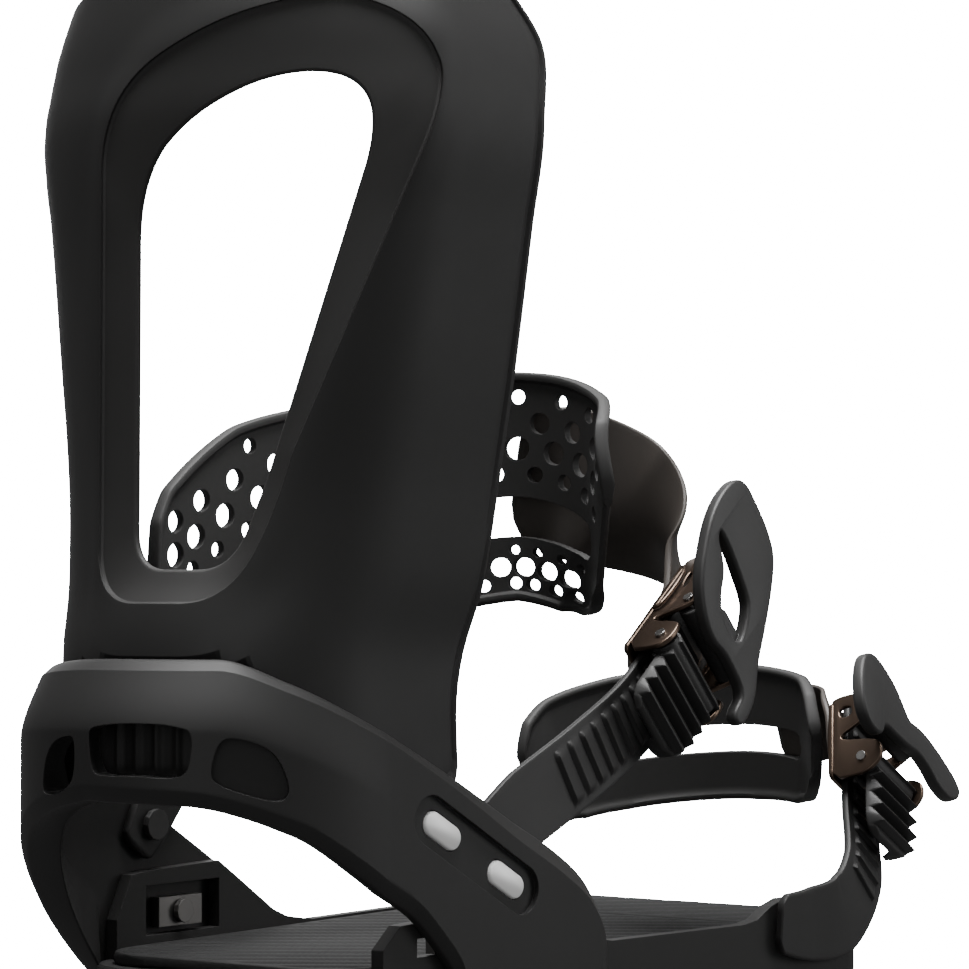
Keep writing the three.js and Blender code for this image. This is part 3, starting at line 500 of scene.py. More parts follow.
def build_lean_block():
    rows, columns = 60, 10
    u = np.linspace(0, 1, rows)[:, None]
    v = np.linspace(0, 1, columns)[None, :]
    q = 0.425 + 0.13 * u + 0 * v
    z = 63 + 16 * v + 0 * u
    rib = 1.1 * (0.5 + 0.5 * np.cos(u * 2 * np.pi * 5)) ** 3
    edge = fillet(np.minimum(v, 1 - v) * 16, 1.2)
    outer = shell_point(q, z, -0.4 - 3.2 - rib + edge)
    inner = shell_point(q, z, -0.4 + 0 * rib)
    block = skin("lean_block_ribbed", outer, inner)
    finish_piece(block, "highback", ["forward_lean_block"], "base_nylon")


# ---- heel hoop --------------------------------------------------------------------
HOOP_THICK, HOOP_CENTRE, HOOP_DEPTH = 5.0, -70.0, 58.0
HOOP_LEAN, LEAN_BAND = 6.0, 18      # how far the rim leans inwards, and over what height
LOW_BAND = 4.1                      # height of the finer rows along the lower edge
NEAR_FRONT, FAR_FRONT = 19.0, 12.0
ARM = 0.36
near_top = curve((-70, 74), (-41, 60), (-19, 48.5), (-2, 40), (10, 32), (15, 26), (19, 17))
far_top = curve((-83, 73), (-70, 65.6), (-62, 59.8), (-54, 53.6), (-38, 44.5), (-22, 35.7),
                (-6, 26.8), (4, 21.2), (12, 15))
near_low = curve((-70, 31), (-59, 25), (-49, 16), (-42, 8), (-38, -2), (19, -4))
far_low = curve((-70, 4), (-60, -3), (12, -4))
heel_top = curve((0, 93.2), (38, 93.2), (60, 87), (90, 74))
heel_low_near = curve((0, 57), (30, 56), (60, 48), (80, 37), (90, 31))
heel_low_far = curve((0, 57), (15, 54), (30, 49), (50, 37), (70, 21), (90, 4))
heel_flange = curve((-90, 7), (-15, 5), (20, 2), (90, 1.5))
PEGS = [(-48.8, 47.3), (-23.4, 32.9)]
PEG_TILT = math.atan2(PEGS[1][1] - PEGS[0][1], PEGS[1][0] - PEGS[0][0])


def hoop_plan(u):
    """Point, outward normal and rim heights of the hoop, by u from near to far front."""
    near, far = u < ARM, u > 1 - ARM
    x_near = NEAR_FRONT + (HOOP_CENTRE - NEAR_FRONT) * u / ARM
    x_far = FAR_FRONT + (HOOP_CENTRE - FAR_FRONT) * (1 - u) / ARM
    phi = np.pi * (0.5 - (u - ARM) / (1 - 2 * ARM))
    degrees = np.degrees(phi)
    line = lambda x: rail_half(x) + GAP + HOOP_THICK
    x = np.where(near, x_near, np.where(far, x_far, HOOP_CENTRE - HOOP_DEPTH * np.cos(phi)))
    y = np.where(near, -line(x_near),
                 np.where(far, line(x_far), -line(HOOP_CENTRE) * np.sin(phi)))
    nx = np.where(near | far, 0, -np.cos(phi))
    ny = np.where(near, -1, np.where(far, 1, -np.sin(phi)))
    fade = np.where(phi < 0, 1 - np.cos(phi), 0)
    top = heel_top(abs(degrees)) - 8.4 * fade
    top = np.where(near, near_top(x_near), np.where(far, far_top(x_far), top))
    low = np.where(phi > 0, heel_low_near(abs(degrees)), heel_low_far(abs(degrees)))
    low = np.where(near, near_low(x_near), np.where(far, far_low(x_far), low))
    bend = np.where(near | far, 0, np.maximum(0, np.cos(phi)))
    flange = heel_flange(degrees) * bend ** 0.3
    return x, y, nx, ny, top, low, bend, flange


def hoop_surface(u, z, w_mm):
    """Hoop surface at height z; w_mm is the depth from the outside."""
    x, y, nx, ny, top, _, bend, _ = hoop_plan(u)
    rim = np.maximum(0, 1 - (top - z) / LEAN_BAND)
    inward = w_mm + HOOP_LEAN * bend * rim ** 1.4
    return np.stack([x - nx * inward, y - ny * inward, z], -1)


# Outlines of the heel's openings, in millimetres across the heel and up from the rail datum.
HEEL_SLOT = [(-4.6, 58.1), (-6.3, 59.4), (-5.1, 66.9), (-1.1, 72.1), (5.8, 73.9), (7.9, 72.9),
             (7.9, 63.7), (5.1, 59.9), (-1.1, 58)]
HEEL_WINDOW = [(-15.8, 74.8), (-14.2, 76.2), (-6.7, 77.1), (4, 77.1), (9.5, 76.3), (13.2, 75.2),
               (12.5, 66.6), (10.9, 63.9), (6.9, 63.2), (-2.7, 63.9), (-11.7, 63.5),
               (-14.7, 64.8)]
HEEL_POCKET = [(-11.2, 70.6), (-9.3, 73.3), (-6.1, 73.6), (1.1, 71.6), (5.4, 67.8), (8.1, 60.4),
               (6.8, 57.7), (3.4, 57.2), (-4.3, 59.3), (-10.5, 61.6), (-12.7, 63.9)]


def build_hoop():
    u = np.concatenate([np.linspace(0, ARM, 110)[:-1], np.linspace(ARM, 1 - ARM, 150)[:-1],
                        np.linspace(1 - ARM, 1, 70)])[:, None]
    x, _, _, _, top, low, bend, flange = hoop_plan(u)
    chamfer = 2.8 + 3.4 * ease(-72, 5, x) * (u < ARM)
    above = chamfer * np.array([1.03, 1, 0.6, 0.25, 0.12, 0.04, 0])
    below = np.array([0, 0.1, 0.35, 0.8, 2.4, 3.9, LOW_BAND])
    share = np.linspace(0, 1, 40)[None, 1:-1]
    middle = low + LOW_BAND + (top - low - LOW_BAND - above[:, :1]) * share
    z = np.concatenate([low + below, middle, top - above], 1)
    down, up = top - z, z - low
    along = np.minimum(u, 1 - u) * 250
    lean = np.clip(1 - down / LEAN_BAND, 0, 1)
    band = (0.9 + 0.38 * chamfer) * np.clip(1 - down / chamfer, 0, 1)
    band = band + 1.9 * np.clip(1 - up / 4.0, 0, 1)
    band = band + bend * (1.8 * lean - 1.0 * ease(0, 16, down))
    outer_inset = band + fillet(np.minimum(down, up), 0.8) + fillet(along, 2.5)
    foot = flange * np.clip(1 - up / (top - low) / 0.34, 0, 1)
    inner_inset = HOOP_THICK + foot - fillet(np.minimum(down, up), 0.9) - fillet(along, 1.5)
    inner_inset = np.maximum(inner_inset, outer_inset + 0.5)
    hoop = skin("hoop_shell", hoop_surface(u, z, outer_inset), hoop_surface(u, z, inner_inset),
                smooth_angle=15)
    mid = [(PEGS[0][k] + PEGS[1][k]) / 2 for k in range(2)]
    recess = peg_prism(55, 13.5, mid[0], mid[1], 20, -float(rail_half(mid[0])) - GAP - 3.4)
    carve(hoop, [recess], 15)
    cutters = [heel_cutter(HEEL_SLOT, -10.2, 30), heel_cutter(HEEL_WINDOW, 17.6, 30),
               heel_cutter(HEEL_POCKET, 47.8, 53.4)]
    for x0, z0 in PEGS:
        cutters.append(peg_prism(15.6, 7.2, x0 + 0.45, z0, 16, -float(rail_half(x0)) - GAP + 3))
    for side in (-1, 1):
        wall = side * (float(rail_half(-68)) + GAP)
        cutters.append(prism(circle_points(3.4), 6, basis((-68, wall - 3 * side, 64), (1, 0, 0),
                                                          (0, 0, -side), (0, side, 0))))
    carve(hoop, cutters, 15)
    finish_piece(hoop, "base", ["heel_hoop"], "nylon")


def peg_prism(length, width, x, z, depth, y):
    outline = rounded(length, width, width / 2 - 0.01, 9)
    out = Vector((-0.08, -1, 0)).normalized()
    along = Vector((math.cos(PEG_TILT), -0.08 * math.cos(PEG_TILT),
                    math.sin(PEG_TILT))).normalized()
    return prism(outline, depth, basis((x, y, z), along, out.cross(along), out))


def heel_cutter(outline, degrees, reach):
    """A cutter facing this way round the heel, starting this far out from the hoop's axis."""
    middle = math.radians(degrees)
    out = Vector((-math.cos(middle), -math.sin(middle), 0))
    side = Vector((math.sin(middle), -math.cos(middle), 0))
    origin = Vector((HOOP_CENTRE, 0, 0)) + out * reach
    return prism(soft_loop(outline, 2), 60, basis(origin, side, (0, 0, 1), out))


def build_pegs():
    for i, (x, z) in enumerate(PEGS):
        outer_y = -float(rail_half(x)) - GAP - 4.4
        rings = [(15, 6.6, 0), (15, 6.6, 3.4), (14.7, 6.3, 3.8), (14.0, 5.6, 4.15)]
        vertices = []
        for length, width, height in rings:
            points = peg_prism(length, width, x, z, 1, outer_y + 4.2 - height)[0]
            vertices += points[:len(points) // 2]
        faces = ring_faces(len(rings), len(vertices) // len(rings))
        peg = new_object(f"peg_{i + 1}", to_metres(vertices), faces, 50)
        finish_piece(peg, "base", [f"ladder_peg_{i + 1}"], "pale")


# ---- straps -----------------------------------------------------------------------
def spline(points, t):
    """Centripetal Catmull-Rom through the points, t in 0..1, as in the CAD."""
    points = np.array(points, float)
    count = len(points) - 1
    out = []
    for value in np.atleast_1d(t):
        place = min(max(value, 0), 1) * count
        i = min(int(place), count - 1)
        w = place - i
        p1, p2 = points[i], points[i + 1]
        p0 = points[i - 1] if i > 0 else 2 * p1 - p2
        p3 = points[i + 2] if i + 2 <= count else 2 * p2 - p1
        steps = [max(np.linalg.norm(b - a), 1e-9) ** 0.5 for a, b in
                 ((p0, p1), (p1, p2), (p2, p3))]
        d0, d1, d2 = steps
        t1 = (p1 - p0) / d0 - (p2 - p0) / (d0 + d1) + (p2 - p1) / d1
        t2 = (p2 - p1) / d1 - (p3 - p1) / (d1 + d2) + (p3 - p2) / d2
        t1, t2 = t1 * d1, t2 * d1
        c2 = -3 * p1 + 3 * p2 - 2 * t1 - t2
        c3 = 2 * p1 - 2 * p2 + t1 + t2
        out.append(p1 + t1 * w + c2 * w * w + c3 * w ** 3)
    return np.array(out)


class Band:
    """A strap's path: centre line, direction across and width at knots."""

    def __init__(self, knots):
        self.at = [k[0] for k in knots]
        self.side = [k[1] for k in knots]
        self.width = np.array([k[2] for k in knots], float)
        fine = spline(self.at, np.linspace(0, 1, 400))
        self.length = float(np.sum(np.linalg.norm(np.diff(fine, axis=0), axis=1)))

    def frame(self, t):
        t = np.atleast_1d(t)
        step = 1e-3
        centre = spline(self.at, t)
        tangent = spline(self.at, np.minimum(t + step, 1)) - spline(self.at, np.maximum(t - step, 0))
        tangent /= np.linalg.norm(tangent, axis=1)[:, None]
        side = spline(self.side, t)
        out = np.cross(tangent, side)
        out /= np.linalg.norm(out, axis=1)[:, None]
        across = np.cross(out, tangent)
        width = np.interp(t, np.linspace(0, 1, len(self.width)), self.width)
        return centre, tangent, across, out, width

    def point(self, t, s, lift):
        """t along, s in millimetres across from the middle, lift outwards."""
        centre, _, across, out, _ = self.frame(t)
        s, lift = np.asarray(s, float), np.asarray(lift, float)
        return (centre[:, None, :] + across[:, None, :] * s[..., None]
                + out[:, None, :] * lift[..., None])

    def matrix(self, t, s, lift):
        centre, tangent, across, out, _ = self.frame(t)
        origin = Vector(centre[0]) + Vector(across[0]) * s + Vector(out[0]) * lift
        return basis(origin, tangent[0], across[0], out[0])


def even(count, dense=0.0):
    """Steps from -1 to 1, packed towards both ends."""
    t = np.linspace(-1, 1, count)
    return t * (1 - dense) + dense * np.sin(t * np.pi / 2)


def make_band(name, band, thickness, rows, columns, top=None, bottom=None, ends=3.0,
              edge=0.9):
    """A strap of given thickness. top and bottom give extra lift by (t, s, half width)."""
    t = np.linspace(0, 1, rows)
    width = band.frame(t)[4]
    from_end = np.minimum(t, 1 - t) * band.length
    tuck = 1 - 0.5 * (1 - np.sqrt(np.clip(from_end / ends, 0, 1)))
    half = (width / 2 * tuck)[:, None]
    s = even(columns, 0.75)[None, :] * half
    distance = np.minimum(half - abs(s), from_end[:, None] + 0.05)
    rounding = fillet(distance, edge)
    high = thickness / 2 - rounding
    low = -thickness / 2 + rounding
    tt = np.broadcast_to(t[:, None], s.shape)
    if top is not None:
        high = high + top(tt, s, half)
    if bottom is not None:
        low = low + bottom(tt, s, half)
    return skin(name, band.point(t, s, high), band.point(t, s, low), smooth_angle=35)


TOOTH_PITCH = 5.2


def sawtooth(phase, rise):
    """Steep up over the first part of the step and slowly down over the rest."""
    return np.where(phase < rise, phase / rise, 1 - (phase - rise) / (1 - rise))


def teeth(band, start, margin, height):
    """Sawtooth ridges across the middle of a ladder strap, from start mm on."""
    def relief(t, s, half):
        along = t * band.length - start
        tooth = sawtooth((along / TOOTH_PITCH) % 1, 0.12)
        within = ease(0, 0.6, half - margin - abs(s))
        return np.where((along > 0) & (t < 1), tooth, 0) * within * height
    return relief


def border(rim, height, soft=1.2):
    """A raised rim round a pad."""
    def relief(t, s, half):
        return height * ease(rim + soft, rim, half - abs(s))
    return relief


def lower_rim(rim, height):
    """The same rim on a band's underside."""
    raised = border(rim, height)
    return lambda t, s, half: -raised(t, s, half)


ANKLE_ACROSS = (-0.56, 0.12, 0.81)
LADDER_ACROSS = (-0.44, 0.16, 0.88)
ANKLE_LADDER = Band([
    ((-46, -48.7, 40), LADDER_ACROSS, 10), ((-28, -49, 41), LADDER_ACROSS, 16),
    ((-6, -50.4, 51), LADDER_ACROSS, 22), ((22, -51.4, 63.5), LADDER_ACROSS, 22),
    ((46, -51.3, 75.6), ANKLE_ACROSS, 22), ((66, -50.8, 90.3), ANKLE_ACROSS, 22),
    ((86, -50.2, 105.3), ANKLE_ACROSS, 19)])
ANKLE_PAD = Band([
    ((-50, 44, 104), (-0.1, 0, 1), 34), ((-34, 45.5, 114), (-0.12, 0, 1), 58),
    ((-8, 45, 126), (-0.1, 0, 1), 68), ((24, 41, 133), (0, 0, 1), 68),
    ((52, 27, 139), (0, 0, 1), 70), ((66, 2, 142), (-0.05, 0, 1), 69),
    ((65, -20, 136), (-0.1, 0, 1), 70), ((54, -35, 124), (-0.1, 0, 1), 66)])
ANKLE_FAR = Band([
    ((-56, 48.6, 38), (-0.5, 0, 0.8), 12), ((-50, 48.8, 46), (-0.6, 0, 0.75), 16),
    ((-38, 49.4, 62), (-0.7, 0, 0.7), 19), ((-18, 50.8, 84), (-0.75, 0, 0.6), 22),
    ((0, 47.9, 106), (-0.8, 0, 0.5), 24), ((16, 45.5, 126), (-0.8, 0, 0.5), 18)])
ANKLE_CARRIER = Band([
    ((56, -45.6, 83), ANKLE_ACROSS, 18), ((68, -45.2, 92), ANKLE_ACROSS, 24),
    ((82, -44.1, 103), (-0.5, 0.1, 0.84), 26), ((91, -34, 120), (-0.4, 0.1, 0.9), 34),
    ((86, -20, 136), (-0.25, 0.1, 0.95), 44), ((73.8, -5, 144), (-0.15, 0.1, 0.98), 46),
    ((68.4, 8, 146), (-0.1, 0.1, 0.98), 36)])
TOE_ACROSS = (-0.88, 0, 0.49)
TOE_LADDER = Band([
    ((101, -65.2, 12), (-0.2, 0, 1), 17), ((116, -66.4, 11), (-0.3, 0, 1), 22),
    ((134, -67.2, 13), (-0.6, 0, 0.8), 25), ((149, -65, 24), TOE_ACROSS, 22),
    ((161, -57.3, 40), TOE_ACROSS, 22), ((170.8, -51.4, 57.7), TOE_ACROSS, 22),
    ((180, -46, 74), TOE_ACROSS, 19)])
TOE_PAD = Band([
    ((128, 46, 48), (0.1, 0, 1), 34), ((142, 43, 56), (0, 0, 1), 42),
    ((160, 33, 61), (-0.08, 0, 1), 44), ((174, 14, 64), (-0.1, 0, 1), 44),
    ((178, -8, 65), (-0.1, 0, 1), 44), ((174, -28, 63), (-0.1, 0, 1), 42),
    ((163.6, -39.8, 58.6), (-0.1, 0, 1), 31)])
TOE_FAR = Band([
    ((101, 65.2, 10), (-0.3, 0, 1), 16), ((113, 66.2, 12), (-0.4, 0, 1), 19),
    ((125, 67.2, 19), (-0.5, 0, 0.85), 20), ((133, 60.5, 31), (-0.6, 0, 0.8), 20),
    ((137, 52, 43), (-0.5, 0, 0.85), 20), ((143.5, 45.6, 53), (-0.3, 0, 1), 19),
    ((152, 41.3, 58), (-0.2, 0, 1), 15)])
TOE_CARRIER = Band([
    ((166.6, -48.3, 49.6), TOE_ACROSS, 18), ((171.5, -45.2, 58.7), TOE_ACROSS, 22),
    ((176, -41.6, 66.2), (-0.75, 0.05, 0.6), 23), ((179.6, -35, 68.5), (-0.35, 0.1, 0.9), 24),
    ((179.6, -26, 68), (-0.1, 0, 1), 26), ((180.3, -15, 66), (-0.1, 0, 1), 24)])


def hole_cutters(band, holes, depth=8.4):
    """Round or long holes given as (t, s, length, width)."""
    cutters = []
    for t, s, length, width in holes:
        outline = rounded(length, width, width / 2 - 0.01, 7)
        cutters.append(prism(outline, depth, band.matrix(t, s, -depth / 2)))
    return cutters


def opening_cutter(band, t0, t1, s0, width, rows=40, depth=16):
    """A long rounded gap between two bands of a pad, following its curve."""
    t = np.linspace(t0, t1, rows)
    from_end = np.minimum(t - t0, t1 - t) * band.length
    half = width / 2 * np.sqrt(np.clip(1 - (1 - np.clip(from_end / (width / 2), 0, 1)) ** 2,
                                       0.02, 1))
    s = s0(t)[:, None] + np.array([[-1.0, 1.0]]) * half[:, None]
    corners = [band.point(t, s, np.full(s.shape, lift)) for lift in (-depth / 2, depth / 2)]
    loop = np.stack([corners[0][:, 0], corners[0][:, 1], corners[1][:, 1], corners[1][:, 0]], 1)
    return [Vector(v) for v in loop.reshape(-1, 3)], ring_faces(rows, 4)


def pad_holes(t0, t1, spacing, rows, length, sizes):
    """Staggered rows of holes: rows are offsets across, sizes their diameters."""
    holes = []
    for i, (s, size) in enumerate(zip(rows, sizes)):
        t = t0 + (i % 2) * spacing / 2 / length
        while t < t1:
            holes.append((t, s, size * 1.15, size))
            t += spacing / length
    return holes


def build_ankle():
    ladder = make_band("ankle_ladder_strap", ANKLE_LADDER, 2.4, 420, 26,
                       top=teeth(ANKLE_LADDER, 64, 3.2, 1.3), edge=0.6)
    finish_piece(ladder, "base", ["ankle_ladder"], "strap")

    pad = make_band("ankle_pad_band", ANKLE_PAD, 2.4, 150, 48, top=border(2.2, 1.1),
                    bottom=lower_rim(2.2, 0.7), ends=16, edge=1.1)
    length = ANKLE_PAD.length
    gap = opening_cutter(ANKLE_PAD, 0.33, 0.93, lambda t: np.full(len(t), -9.0), 12)
    holes = []
    holes += pad_holes(0.1, 0.95, 12.5, (27, 19.5, 11.5, 4), length, (4.4, 6.2, 6.8, 4.6))
    holes += pad_holes(0.36, 0.92, 12.5, (-19, -24, -29), length, (2.8, 5.6, 3.6))
    holes += pad_holes(0.07, 0.3, 12.5, (-4, -12, -19.5), length, (6.2, 5.6, 4.6))
    holes = [h for h in holes if abs(h[1]) + h[3] / 2 < 0.5 * np.interp(
        h[0], np.linspace(0, 1, len(ANKLE_PAD.width)), ANKLE_PAD.width) - 3.4]
    carve(pad, [gap], 35)
    carve(pad, hole_cutters(ANKLE_PAD, holes), 35)
    finish_piece(pad, "base", ["ankle_pad"], "pad")

    far = make_band("ankle_far_band", ANKLE_FAR, 2.4, 60, 18, bottom=lower_rim(2, 0.5), edge=0.8)
    finish_piece(far, "base", ["ankle_far_strap"], "strap")
    ridge = lambda t, s, half: 0.5 * ease(0.5, 1.6, half * 0.55 - abs(s))
    carrier = make_band("ankle_carrier_band", ANKLE_CARRIER, 2.3, 90, 30, top=ridge, ends=5,
                        edge=0.8)
    finish_piece(carrier, "base", ["ankle_carrier"], "carrier")


def build_toe():
    ladder = make_band("toe_ladder_strap", TOE_LADDER, 2.4, 260, 26,
                       top=teeth(TOE_LADDER, 52, 3.6, 1.3), edge=0.6)
    finish_piece(ladder, "toe_strap", ["toe_ladder"], "strap")
    crown = lambda t, s, half: -0.6 * (1 - (s / half) ** 2)
    pad = make_band("toe_pad_band", TOE_PAD, 3.2, 130, 40, top=border(2, 0.8), bottom=crown,
                    ends=10, edge=1.3)
    gap = opening_cutter(TOE_PAD, 0.2, 0.86, lambda t: -2.0 + 0 * t, 9)
    pockets = []
    for row in (12, -13):
        for t in np.arange(0.14, 0.9, 0.085):
            pockets.append(prism(rounded(9.5, 5, 1.6), 6,
                                 TOE_PAD.matrix(float(t), row, -7.0)))
    carve(pad, [gap], 35)
    carve(pad, pockets, 35)
    finish_piece(pad, "toe_strap", ["toe_pad"], "pad")
    far = make_band("toe_far_band", TOE_FAR, 2.3, 60, 18, bottom=lower_rim(2, 0.5), edge=0.8)
    finish_piece(far, "toe_strap", ["toe_far_strap"], "strap")
    carrier = make_band("toe_carrier_band", TOE_CARRIER, 1.9, 60, 20, ends=4, edge=0.7)
    finish_piece(carrier, "toe_strap", ["toe_carrier"], "carrier")


def plate(name, loops, depth, radius, matrix):
    """A flat piece with rounded edges: an outline and holes in its own X and Y, depth along Z."""
    data = bpy.data.curves.new(name, "CURVE")
    data.dimensions, data.fill_mode = "2D", "BOTH"
    data.extrude, data.bevel_depth, data.bevel_resolution = depth / 2 - radius, radius, 3
    for loop in loops:
        line = data.splines.new("POLY")
        line.points.add(len(loop) - 1)
        for point, (x, y) in zip(line.points, loop):
            point.co = (x, y, 0, 1)
        line.use_cyclic_u = True
    holder = bpy.data.objects.new(name, data)
    bpy.context.scene.collection.objects.link(holder)
    graph = bpy.context.evaluated_depsgraph_get()
    mesh = bpy.data.meshes.new_from_object(holder.evaluated_get(graph))
    points = [matrix @ (v.co + Vector((0, 0, depth / 2))) for v in mesh.vertices]
    faces = [tuple(p.vertices) for p in mesh.polygons]
    bpy.data.objects.remove(holder)
    bpy.data.meshes.remove(mesh)
    return new_object(name, to_metres(points), faces, 40)


def joined(pieces):
    """One object from several that touch or overlap."""
    first, rest = pieces[0], pieces[1:]
    bm = bmesh.new()
    for piece in pieces:
        bm.from_mesh(piece.data)
    bm.to_mesh(first.data)
    bm.free()
    for piece in rest:
        bpy.data.objects.remove(piece)
    shade(first, 40)
    return first


def soft_loop(points, rounds=3):
    """A closed outline with its corners cut smooth."""
    points = np.array(points, float)
    for _ in range(rounds):
        after = np.roll(points, -1, axis=0)
        points = np.stack([0.75 * points + 0.25 * after, 0.25 * points + 0.75 * after],
                          1).reshape(-1, 2)
    return points


# ---- buckles ------------------------------------------------------------------------
# In a buckle's own frame X runs up the ladder, Y across it and Z outwards; the ladder's
# outer face is at zero. The pins are where the CAD has them.
RATCHET_PIN, RELEASE_PIN = (8.0, 8.0), (-9.0, 7.0)
CHEEK_IN, CHEEK_WALL = 13.6, 1.6
WING_LOW, WING_DEPTH = 11.5, 4.2
BARREL_WIDTH = 25.6


def buckle_basis(at, along, across):
    t = Vector(along).normalized()
    n = t.cross(Vector(across)).normalized()
    return basis(at, t, n.cross(t), n)


def flat_at(matrix, z):
    """Own frame of a plate lying at height z in a buckle."""
    return matrix @ Matrix.Translation((0, 0, z))


def upright_at(matrix, y):
    """Own frame of a plate standing along the ladder: X, Z of the buckle, pushed to -Y."""
    turn = Matrix(((1, 0, 0, 0), (0, 0, -1, y), (0, 1, 0, 0), (0, 0, 0, 1)))
    return matrix @ turn


ANKLE_BUCKLE = buckle_basis((67, -52, 91), (0.8, 0.02, 0.6), (-0.56, 0.12, 0.81))
TOE_BUCKLE = buckle_basis((171, -52.5, 58), (0.47, 0.28, 0.84), (-0.88, 0, 0.49))

ANKLE_WING = [(43.5, 30.5), (46, 27), (45.5, 20), (44.8, 12.6), (42.6, 6), (39.5, 2.4),
              (32.4, -2.5), (22.4, -8), (11, -13.5), (4.5, -18.8), (-1.8, -20.6), (-6.5, -20.8),
              (-7.2, -17.4), (1.6, -16.6), (3, -6), (2.6, 0), (1, 4.6), (3, 12), (9.2, 20.6),
              (20.5, 27.2), (27.5, 30.2), (36, 31.6)]
ANKLE_WING_SLOT = [(27.4, 26.6), (23, 25.2), (20.4, 18.6), (17.6, 15.4), (12.4, 12.6), (8.4, 8),
                   (6.8, 2), (7.6, -3), (10.5, -5), (15.2, -3.6), (21.4, 0), (23.4, 3),
                   (24.8, 8), (26.2, 14), (27.4, 20.5)]
TOE_WING = [(20.5, 24), (20.6, 18.6), (17.5, 8.7), (12.6, 2.4), (9.5, -1.5), (11, -9),
            (10.2, -17.9), (8.4, -25.9), (6, -33.9), (2.8, -38), (-1.6, -32.5), (-2.1, -26.7),
            (-1.2, -22), (1.6, -16.5), (3.2, -8.6), (2, -1.5), (1.6, 5), (1.6, 16.6),
            (-4, 17.6), (-4.6, 24.6), (0.3, 29.6), (10, 30.6), (17.5, 28.6)]
ANKLE_CHEEK = [(-13.5, -4.6), (27, -4.6), (30, -1), (29, 4), (22, 7.2), (14, 9.4), (10.6, 11),
               (8, 11.2), (6.2, 9), (3.2, 4.2), (1, -0.6), (-1.8, -0.4), (-3.4, 9.8),
               (-6, 11.2), (-11.5, 11), (-14.5, 7.5)]
TOE_CHEEK = [(-14, -4.6), (13, -4.6), (14.5, 0), (14, 6.6), (11.4, 10.6), (8, 11.2), (6.2, 9),
             (3.2, 4.2), (1, -0.6), (-1.8, -0.4), (-3.6, 11), (-6, 13.6), (-11.5, 13),
             (-15, 6.5)]


def barrel(name, pin, radius, matrix):
    """The round part of a lever, across the buckle on its pin."""
    loop = [(pin[0] + x, pin[1] + z) for x, z in circle_points(radius, 32)]
    return plate(name, [loop], BARREL_WIDTH, 0.5, upright_at(matrix, BARREL_WIDTH / 2))


def build_wing(name, node, body, matrix, outline, slots):
    """Handle of the ratchet: a leaf-shaped wing on a barrel round its pin."""
    wing = plate(f"{name}_wing", [soft_loop(outline)] + [soft_loop(s)[::-1] for s in slots],
                 WING_DEPTH, 1.1, flat_at(matrix, WING_LOW))
    web = plate(f"{name}_web", [rounded(7, 20, 2)], 6, 0.6,
                flat_at(matrix, 7.5) @ Matrix.Translation((RATCHET_PIN[0] + 1.5, -3, 0)))
    roll = barrel(f"{name}_barrel", RATCHET_PIN, 4.0, matrix)
    finish_piece(joined([wing, roll, web]), body, [node], "lever")


def build_tongue(name, node, body, matrix):
    """Release lever: a ribbed tongue with a thick rounded lip on its lower side."""
    rows, columns = 260, 40
    u = np.linspace(0, 1, rows)[:, None]
    v = even(columns, 0.7)[None, :] * 0.5 + 0.5
    x = -33.5 + 30 * u + 0 * v
    y_low = curve((-33.5, -8), (-31, -12.5), (-26, -14.8), (-3.5, -15.4))(x)
    y_high = curve((-33.5, 7), (-31, 10.5), (-27, 12), (-3.5, 12))(x)
    y = y_low + (y_high - y_low) * v
    side = np.minimum(y - y_low, y_high - y)
    end = np.minimum(x + 33.5, -3.5 - x)
    tooth = sawtooth(((x + 31) / 5.5) % 1, 0.14)
    ribs = np.where((x > -31) & (x < -3.7), tooth, 0.1) * ease(0.1, 0.8, y_high - y)
    ribs = ribs * ease(0.4, 1.6, y - y_low)
    top = 8.8 + 3.4 * ribs - fillet(np.minimum(side, end), 1.4)
    lip = ease(5.5, 2.5, y - y_low) * ease(-4, -10, x)
    low = 5.4 + 0.8 * (1 - lip) - 2.6 * lip + fillet(np.minimum(side, end), 1.4)
    face = placed(matrix, np.stack([x, y, top], -1))
    reverse = placed(matrix, np.stack([x, y, np.minimum(low, top - 0.6)], -1))
    tongue = skin(f"{name}_tongue", face, reverse, smooth_angle=30)
    roll = barrel(f"{name}_release_barrel", RELEASE_PIN, 3.6, matrix)
    finish_piece(joined([tongue, roll]), body, [node], "lever")


def placed(matrix, points):
    """Points in a buckle's own frame, as millimetres in the row frame."""
    turn = np.array(matrix)
    return points @ turn[:3, :3].T + turn[:3, 3]


def tube(name, path, radius, matrix, sides=10):
    """A round wire along a path in a buckle's own frame."""
    path = spline(path, np.linspace(0, 1, 40))
    ahead = np.gradient(path, axis=0)
    ahead /= np.linalg.norm(ahead, axis=1)[:, None]
    left = np.cross(ahead, (0.0, 1.0, 0.01))
    left /= np.linalg.norm(left, axis=1)[:, None]
    up = np.cross(left, ahead)
    turn = np.linspace(0, 2 * np.pi, sides, endpoint=False)
    rings = (path[:, None] + radius * (np.cos(turn)[None, :, None] * left[:, None]
                                       + np.sin(turn)[None, :, None] * up[:, None]))
    points = placed(matrix, rings).reshape(-1, 3)
    return new_object(name, to_metres(points), ring_faces(len(path), sides), 50)


